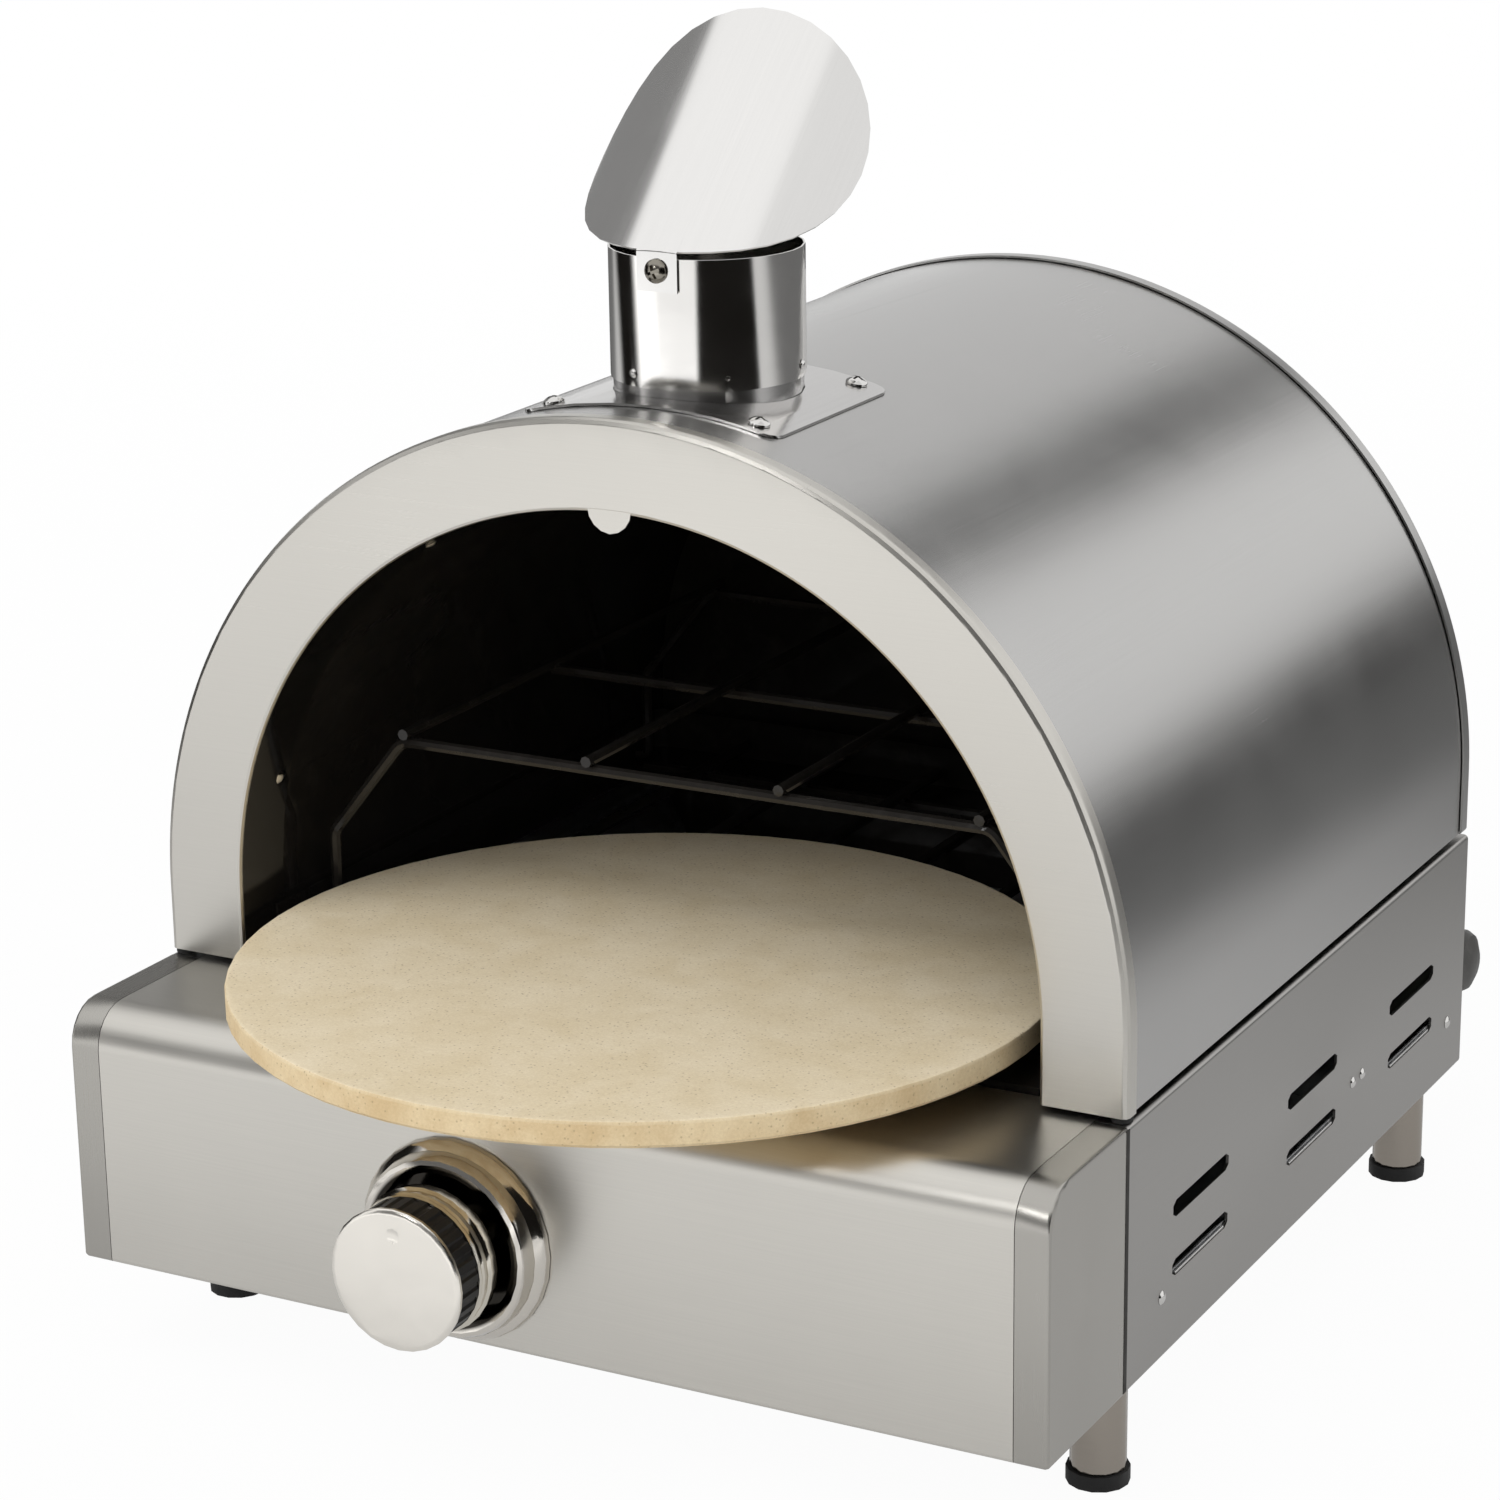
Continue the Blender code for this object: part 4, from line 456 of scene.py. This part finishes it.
for name in ("firebox", "stone_support", "warming_rack", "oven_liner", "liner_back"):
    looks[name] = enamel(name + "_enamel")
for name in ("base_tray", "burner_tube", "burner_bracket", "heat_deflector"):
    looks[name] = zinc(name + "_zinc")
for name in ("gas_valve", "gas_pipe", "gas_inlet", "valve_stem"):
    looks[name] = brass(name + "_brass")
for name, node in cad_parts.items():
    for slot in node.material_slots:
        slot.material = looks.get(name, screw_steel)


# Shading: the solids' facets are welded and shaded smooth, and the arch's chords made round

def soften_group():
    """Weld a mesh and shade it smooth, apart from its real edges."""
    g = Group("soften")
    g.step("GeometryNodeRemoveAttribute", {"Name": "custom_normal"})
    g.step("GeometryNodeMergeByDistance", {"Distance": WELD})
    g.step("GeometryNodeSetShadeSmooth", {}, domain="FACE")
    angle = g.put("GeometryNodeInputMeshEdgeAngle", {}).outputs["Unsigned Angle"]
    sharp = g.put("FunctionNodeCompare", {"A": angle, "B": SHARP_SOLID}, operation="GREATER_THAN")
    g.step("GeometryNodeSetShadeSmooth", {"Selection": sharp.outputs["Result"], "Shade Smooth": False},
           domain="EDGE")
    return g.close()


def arch_group(name, lower=0.0, drop=0.0):
    """Make the arch's chords round, and let down what lies under a height."""
    g = Group(name)
    g.step("GeometryNodeMergeByDistance", {"Distance": WELD})
    g.step("GeometryNodeSubdivideMesh", {"Level": 2})
    x, y, z = g.split(g.put("GeometryNodeInputPosition", {}).outputs[0])
    rise = g.calc("MAXIMUM", g.calc("SUBTRACT", z, ARCH_Z), 0.0)
    turn = g.calc("ARCTAN2", rise, x)
    within = g.calc("SUBTRACT", g.calc("FLOORED_MODULO", turn, ARCH_STEP), ARCH_STEP / 2)
    grow = g.calc("DIVIDE", g.calc("COSINE", within), math.cos(ARCH_STEP / 2))
    on_arch = g.calc("GREATER_THAN", rise, 0.000001)
    factor = g.calc("ADD", 1.0, g.calc("MULTIPLY", on_arch, g.calc("SUBTRACT", grow, 1.0)))
    low = g.calc("MULTIPLY", g.calc("LESS_THAN", z, lower), drop)
    new_x = g.calc("MULTIPLY", x, factor)
    new_z = g.calc("ADD", z, g.calc("MULTIPLY", rise, g.calc("SUBTRACT", factor, 1.0)))
    place = g.put("ShaderNodeCombineXYZ", {0: new_x, 1: y, 2: g.calc("SUBTRACT", new_z, low)})
    g.step("GeometryNodeSetPosition", {"Position": place.outputs[0]})
    return g.close()


round_arch = arch_group("round_arch")
# The skin's lower edge also comes closer to the deck
round_skin = arch_group("round_skin", FRAME_Z + 0.0055, 0.0018)
soften = soften_group()
for name in ("front_ring", "hood_skin", "hood_back", "oven_liner", "liner_back"):
    group = round_skin if name == "hood_skin" else round_arch
    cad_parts[name].modifiers.new("rounded", "NODES").node_group = group
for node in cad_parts.values():
    node.modifiers.new("soften", "NODES").node_group = soften
    even = node.modifiers.new("even", "WEIGHTED_NORMAL")
    even.keep_sharp = True
    even.weight = 90


# Small fittings

fittings = bpy.data.collections.new("fittings")
bpy.context.scene.collection.children.link(fittings)


def lathe(bm, profile, steps):
    """Add a solid turned about z, its profile running from axis to axis."""
    verts = [bm.verts.new((r, 0, z)) for r, z in profile]
    edges = [bm.edges.new(pair) for pair in zip(verts, verts[1:])]
    bmesh.ops.spin(bm, geom=verts + edges, axis=(0, 0, 1), cent=(0, 0, 0), angle=math.tau, steps=steps)
    bmesh.ops.remove_doubles(bm, verts=bm.verts, dist=1e-6)
    bmesh.ops.recalc_face_normals(bm, faces=bm.faces)


def fitting(name, bm, material, body, place, outward):
    """A piece that stands at a place, looks outward and rides on a body."""
    mesh = bpy.data.meshes.new(name)
    bm.to_mesh(mesh)
    bm.free()
    mesh.materials.append(material)
    mesh.shade_smooth()
    mesh.set_sharp_from_angle(angle=SHARP_FITTING)
    obj = bpy.data.objects.new(name, mesh)
    fittings.objects.link(obj)
    turn = Vector(outward).to_track_quat("Z", "Y").to_matrix().to_4x4()
    obj.matrix_world = Matrix.Translation(place) @ turn
    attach(obj, body)
    return obj


def dome(radius, height):
    """Profile of a low dome, from its crown to its edge."""
    steps = 6
    ball = (radius ** 2 + height ** 2) / (2 * height)
    widest = math.asin(radius / ball)
    return [(ball * math.sin(widest * i / steps), height - ball * (1 - math.cos(widest * i / steps)))
            for i in range(steps + 1)]


def cross_recess(name, head, height, turn):
    """The tool that cuts a cross recess: two bars through the crown of a head."""
    bm = bmesh.new()
    length, width, depth = head * 1.15, head * 0.24, height * 1.3
    for angle in (turn, turn + math.pi / 2):
        spin = Matrix.Rotation(angle, 4, "Z") @ Matrix.Translation((0, 0, height))
        bmesh.ops.create_cube(bm, size=1.0, matrix=spin @ Matrix.Diagonal((length, width, depth, 1)))
    mesh = bpy.data.meshes.new(name)
    bm.to_mesh(mesh)
    bm.free()
    tool = bpy.data.objects.new(name, mesh)
    fittings.objects.link(tool)
    return tool


def screw(name, place, outward, body, head=0.0044, height=0.0028, turn=0.4, material=screw_steel):
    """A pan-head screw with a cross recess."""
    shank, length = 0.0017, 0.005
    crown, rim = head * 0.97, height * 0.35
    profile = [(r, z + rim) for r, z in dome(crown, height - rim)]
    profile += [(head, rim * 0.7), (head, 0), (shank, 0), (shank, -length), (0, -length)]
    bm = bmesh.new()
    lathe(bm, profile, steps=24)
    obj = fitting(name, bm, material, body, place, outward)
    tool = cross_recess(name + "_recess", head, height, turn)
    tool.matrix_world = obj.matrix_world
    cut = obj.modifiers.new("recess", "BOOLEAN")
    cut.solver = "EXACT"
    cut.use_self = True
    cut.object = tool
    bpy.context.view_layer.update()
    graph = bpy.context.evaluated_depsgraph_get()
    carved = bpy.data.meshes.new_from_object(obj.evaluated_get(graph))
    obj.modifiers.clear()
    obj.data = carved
    bpy.data.objects.remove(tool)
    carved.set_sharp_from_angle(angle=SHARP_FITTING)
    return obj


def rivet(name, place, outward, body, radius, height, shank, length=0.003, material=screw_steel):
    """A dome-headed rivet."""
    bm = bmesh.new()
    lathe(bm, dome(radius, height) + [(shank, 0), (shank, -length), (0, -length)], steps=20)
    return fitting(name, bm, material, body, place, outward)


def strip(name, size, material, place, edge):
    """A straight strip with rounded edges on the base."""
    bm = bmesh.new()
    bmesh.ops.create_cube(bm, size=1.0, matrix=Matrix.Diagonal((*size, 1)))
    bmesh.ops.bevel(bm, geom=bm.edges[:], offset=edge, segments=2, affect="EDGES")
    return fitting(name, bm, material, "base", place, (0, 0, 1))


# Holes for fittings in the oven's own frame. Side rivets: y, z and the head's radius
SIDE_RIVETS = ((0.0344, -0.0825, 0.0029), (0.3621, -0.0825, 0.0029), (0.24035, -0.068, 0.0025),
               (0.25165, -0.068, 0.0025))
# Hinges and handle brackets: x of the middle, y of the face, z of the holes (the hinges' above and below
# the deck), and half the distance between two holes
HINGE_X, HINGE_Y, HINGE_Z, HINGE_HALF = 0.130, 0.3839, 0.0151, 0.0125
BRACKET_X, BRACKET_Y, BRACKET_Z, BRACKET_HALF = 0.186, 0.3853, -0.0973, 0.0055
GRIP_Y, GRIP_Z = 0.414, -0.0898
# Rivets round the flue and along the mouth, with their angles in degrees
FLUE_RIVETS, FLUE_RIVET_TURN, FLUE_RIVET_Z = 6, 10, 0.2535
MOUTH_RIVET_ANGLES, MOUTH_RIVET_Y = (14.4, 57.6, 122.4, 165.6), 0.0245
# Lips of the air slots: y of the middles, z, and how far inside the side's face
SLOT_PLACES, SLOT_LIP_Z, SLOT_LIP_INSET = (0.0725, 0.1925, 0.3125), -0.07785, 0.0007
SLOT_LIP_RADIUS, SLOT_LIP_LENGTH = 0.00055, 0.049
SIDES = ((-1, "left"), (1, "right"))
# The hinges', brackets' and grip's screws
SMALL_HEAD = {"head": 0.0036, "height": 0.0022}

for side, word in SIDES:
    for number, (y, z, radius) in enumerate(SIDE_RIVETS):
        rivet("side_rivet_%s_%d" % (word, number), at(side * (HALF_WIDTH + LIFT), y, z), (side, 0, 0), "base",
              radius, height=0.0013, shank=0.0017)
    for number, way in enumerate((-1, 1)):
        x = side * HINGE_X + way * HINGE_HALF
        for body, level, turn in (("base", -HINGE_Z, 0.3), ("hood", HINGE_Z, 0.9)):
            screw("hinge_screw_%s_%s_%d" % (body, word, number), at(x, HINGE_Y + LIFT, level), (0, 1, 0),
                  body, turn=turn + number, **SMALL_HEAD)
    for number, way in enumerate((-1, 1)):
        x = side * BRACKET_X + way * BRACKET_HALF
        screw("bracket_screw_%s_%d" % (word, number), at(x, BRACKET_Y + LIFT, BRACKET_Z), (0, 1, 0), "base",
              turn=0.2 + number, **SMALL_HEAD)
    screw("grip_screw_" + word, at(side * BRACKET_X, GRIP_Y, GRIP_Z - LIFT), (0, 0, -1), "base", **SMALL_HEAD)

for number in range(FLUE_RIVETS):
    angle = math.radians(FLUE_RIVET_TURN + 360 / FLUE_RIVETS * number)
    outward = Vector((math.cos(angle), math.sin(angle), 0))
    place = Vector((0, FLUE_Y, FRAME_Z + FLUE_RIVET_Z)) + outward * (FLUE_RADIUS + LIFT)
    if number % 2:
        # Every other one is set flush
        rivet("flue_rivet_%d" % number, place - outward * 0.0002, outward, "hood", radius=0.00085,
              height=0.0001, shank=0.0008, length=0.001, material=flue_chrome)
    else:
        rivet("flue_rivet_%d" % number, place, outward, "hood", radius=0.0019, height=0.0010,
              shank=0.0009, length=0.0012)
for number, angle in enumerate(MOUTH_RIVET_ANGLES):
    outward = Vector((math.cos(math.radians(angle)), 0, math.sin(math.radians(angle))))
    place = Vector((0, FRAME_Y + MOUTH_RIVET_Y, ARCH_Z)) + outward * (MOUTH_RADIUS - LIFT)
    rivet("mouth_rivet_%d" % number, place, -outward, "hood", radius=0.0032, height=0.0010, shank=0.0013)

# Rolled lower lips of the lower air slots
for side, word in SIDES:
    for number, y in enumerate(SLOT_PLACES):
        bm = bmesh.new()
        bmesh.ops.create_cone(bm, cap_ends=True, segments=12, radius1=SLOT_LIP_RADIUS,
                              radius2=SLOT_LIP_RADIUS, depth=SLOT_LIP_LENGTH)
        fitting("slot_lip_%s_%d" % (word, number), bm, looks["flue_collar"], "base",
                at(side * (HALF_WIDTH - SLOT_LIP_INSET), y, SLOT_LIP_Z), (0, 1, 0))

# Hem of the tray's rear edge, which closes the gap under the back panel
strip("tray_hem", size=(0.422, 0.0042, 0.0045), material=looks["base_tray"],
      place=Vector((0, REAR_Y - 0.0037, 0.0474)), edge=0.0004)
# Dark strips in the seams between the console's ends and the side panels: painted shade in the gaps there
seal_black = moulded("seal_black", (0.026, 0.024, 0.021))
for side, word in SIDES:
    strip("seam_shade_strip_" + word, size=(0.0012, 0.0030, 0.1062), material=seal_black,
          place=Vector((side * (HALF_WIDTH - 0.00045), FRAME_Y - 0.0004, 0.0979)), edge=0.0001)

# Screws that replace plain round heads: one on the cap's tab, four on the chimney's saddle
CAP_HEAD_DEPTH = 0.0030
for name in ("cap_screw", "plate_screw_front_left", "plate_screw_front_right", "plate_screw_rear_left",
             "plate_screw_rear_right"):
    low, high = (Vector(v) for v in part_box(name))
    middle = (low + high) / 2
    if name == "cap_screw":
        place = Vector((middle.x, low.y + CAP_HEAD_DEPTH + LIFT, middle.z))
        piece = screw(name + "_head", place, (0, -1, 0), "hood", head=0.0047, material=screw_dark)
    else:
        outward = Vector((middle.x, 0, middle.z - ARCH_Z)).normalized()
        place = Vector((0, middle.y, ARCH_Z)) + outward * (SADDLE_RADIUS + LIFT)
        piece = screw(name + "_head", place, outward, "hood", turn=0.5 + middle.x * 20)
    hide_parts(name)


# Studio: pale floor, soft lamps and a white background

# How brightly the floor glows in the steel's reflections only, from in front of the oven (-Y) to behind it
# (+Y): painted reflection light
FLOOR_GLOW_IN_REFLECTIONS = ((-2.4, 0.95), (-1.95, 1.02), (-1.60, 1.80), (-1.20, 1.50), (-0.90, 1.08), (-0.62, 0.66),
               (-0.47, 1.12), (-0.33, 0.52), (0.10, 0.62), (0.40, 0.53), (0.60, 0.40), (0.82, 0.12),
               (1.10, 0.02), (2.40, 0.02))
# How white the floor is of itself, near the oven as the camera sees it and in reflections
SEEN_WHITE, SHOWN_WHITE = 0.96, 0.8
# Distances from the oven between which that grows to the white of the background
NEAR, FAR = 0.6, 2.5
# The shade under the base: its middle and half its size in x and in y, and how soft its edge is
SHADE_X, SHADE_Y, SHADE_EDGE = (0.0, 0.16), (0.08, 0.14), 0.05


def floor_material():
    """A pale matt floor: plain white for the camera; in reflections it glows brighter in front than behind,
    as painted reflection light.
    """
    g = Graph("floor_white")
    x, y, z = g.split(g.put("ShaderNodeNewGeometry", {}).outputs["Position"])
    path = g.put("ShaderNodeLightPath", {}).outputs
    mirrored = g.calc("MAXIMUM", g.calc("SUBTRACT", path["Is Glossy Ray"], path["Is Camera Ray"]), 0.0)
    # Painted reflection light: reflections see the floor glow by this curve
    tone = g.calc("MULTIPLY", mirrored, g.curve(y, FLOOR_GLOW_IN_REFLECTIONS))
    matt = g.put("ShaderNodeBsdfDiffuse", {"Color": (0.86, 0.86, 0.86)})
    strength = g.calc("ADD", g.calc("SUBTRACT", 1.0, mirrored), tone)
    white = g.put("ShaderNodeEmission", {"Strength": strength})
    # Right under the base, where only its vents show it, the floor lies in the shade
    under = 1.0
    for value, (middle, half) in ((x, SHADE_X), (y, SHADE_Y)):
        away = g.calc("ABSOLUTE", g.calc("SUBTRACT", value, middle))
        under = g.calc("MULTIPLY", under, g.span(away, half - SHADE_EDGE, half, 1.0, 0.0, "SMOOTHSTEP"))
    # Far off it is as white as the background, so that no horizon shows
    seen = g.calc("MULTIPLY", path["Is Camera Ray"], g.span(g.reach(x, y), NEAR, FAR, SEEN_WHITE, 1.0))
    seen = g.calc("MULTIPLY", seen, g.calc("SUBTRACT", 1.0, under))
    share = g.calc("MAXIMUM", seen, g.calc("MULTIPLY", mirrored, SHOWN_WHITE))
    g.show(share, matt.outputs[0], white.outputs[0])
    return g.material


def stage_plane(name, width, depth, place, outward, material):
    """A flat stage surface."""
    bm = bmesh.new()
    size = Matrix.Diagonal((width, depth, 1, 1))
    bmesh.ops.create_grid(bm, x_segments=1, y_segments=1, size=0.5, matrix=size)
    mesh = bpy.data.meshes.new(name)
    bm.to_mesh(mesh)
    bm.free()
    mesh.materials.append(material)
    obj = bpy.data.objects.new(name, mesh)
    bpy.context.scene.collection.objects.link(obj)
    turn = Vector(outward).to_track_quat("Z", "Y").to_matrix().to_4x4()
    obj.matrix_world = Matrix.Translation(place) @ turn
    return obj


def flag(name, width, height, place, outward, strength, edge):
    """A dark panel with soft edges that only shows in reflections, as a studio flag does."""
    g = Graph(name, Base_Color=(0.012, 0.011, 0.010), Roughness=0.9, Specular_IOR_Level=0.0)
    x, y, z = g.place()
    mask = strength
    for value, half in ((x, width / 2), (y, height / 2)):
        away = g.calc("ABSOLUTE", value)
        mask = g.calc("MULTIPLY", mask, g.span(away, half * (1 - edge), half, 1.0, 0.0, "SMOOTHSTEP"))
    clear = g.put("ShaderNodeBsdfTransparent", {})
    g.show(mask, clear.outputs[0], g.shader.outputs[0])
    obj = stage_plane(name, width, height, place, outward, g.material)
    obj.visible_camera = False
    obj.visible_diffuse = False
    obj.visible_shadow = False


stage_plane("floor", 12, 12, (0, 0, -0.0002), (0, 0, 1), floor_material())
# Behind and to the right, low: the dark run along the hood's side
flag("flag_rear_low", 5.2, 1.9, (2.0, 4.6, 0.0), (-0.45, -1, 0), 0.97, edge=0.5)
# Behind, higher: the softer dark run over the hood's shoulder
flag("flag_rear_high", 1.75, 2.9, (0.56, 4.6, 2.75), (0, -1, -0.4), 0.98, edge=0.85)
# Behind and to the left, all the way up: a light shade over the hood's top
flag("flag_rear_left", 5.0, 4.2, (-1.9, 4.2, 2.2), (0.35, -1, -0.3), 0.24, edge=0.4)
# To the right and left: the dark bands in the flue, the knob and its bezel
flag("flag_right", 1.75, 1.5, (0.88, -0.75, 0.3), (-1.3, 1.04, 0), 1.0, edge=0.2)
flag("flag_left", 1.05, 1.5, (-1.13, -0.26, 0.3), (1, 0.2, 0), 1.0, edge=0.55)
# In front, a little above the level: the darker feet of the ring and the console's rounded edge
flag("flag_front", 5.6, 2.9, (-1.0, -3.5, 1.65), (0.2, 1, -0.1), 0.85, edge=0.3)
# Above, to the left: the dark left part of the cap and the console's top
flag("flag_left_high", 3.1, 2.4, (-2.4, 1.2, 1.6), (1, -0.45, -0.35), 0.76, edge=0.12)
# Above, to the right: a light shade over the cap's right part
flag("flag_high_right", 2.8, 2.6, (1.95, -0.4, 3.2), (0, 0, -1), 0.17, edge=0.08)


def lamp(name, size, power, place, target=(0, 0, 0.25), shine=False):
    """A square or oblong area lamp; only one with shine shows in reflections."""
    data = bpy.data.lights.new(name, "AREA")
    data.shape = "RECTANGLE"
    data.size, data.size_y = size
    data.energy = power
    obj = bpy.data.objects.new(name, data)
    bpy.context.scene.collection.objects.link(obj)
    turn = (Vector(place) - Vector(target)).to_track_quat("Z", "Y").to_matrix().to_4x4()
    obj.matrix_world = Matrix.Translation(place) @ turn
    obj.visible_glossy = shine


lamp("key", (3.0, 3.0), 36, (-2.0, -3.2, 2.5))
lamp("spark", (0.4, 0.4), 6, (-1.0, -3.2, 1.9), shine=True)
lamp("fill", (2.4, 2.4), 8, (2.6, -3.0, 1.6))
lamp("top", (2.0, 2.0), 33, (-0.1, -1.5, 3.0), (0, -0.2, 0.15))
lamp("rear", (2.6, 1.8), 14, (0.4, 3.2, 3.0))


def set_world():
    """White to the camera, in reflections and through glass; a soft grey dome lights the object."""
    world = bpy.data.worlds.new("studio")
    bpy.context.scene.world = world
    world.use_nodes = True
    tree = Tree(world.node_tree)
    path = tree.put("ShaderNodeLightPath", {}).outputs
    white = tree.calc("MAXIMUM", path["Is Camera Ray"], path["Is Transmission Ray"])
    white = tree.calc("MAXIMUM", white, path["Is Glossy Ray"])
    background = world.node_tree.nodes["Background"]
    tree.feed(background.inputs["Color"], (1, 1, 1))
    tree.feed(background.inputs["Strength"], tree.span(white, 0.0, 1.0, 0.55, 1.0))


set_world()
bpy.context.scene.view_settings.view_transform = "Standard"
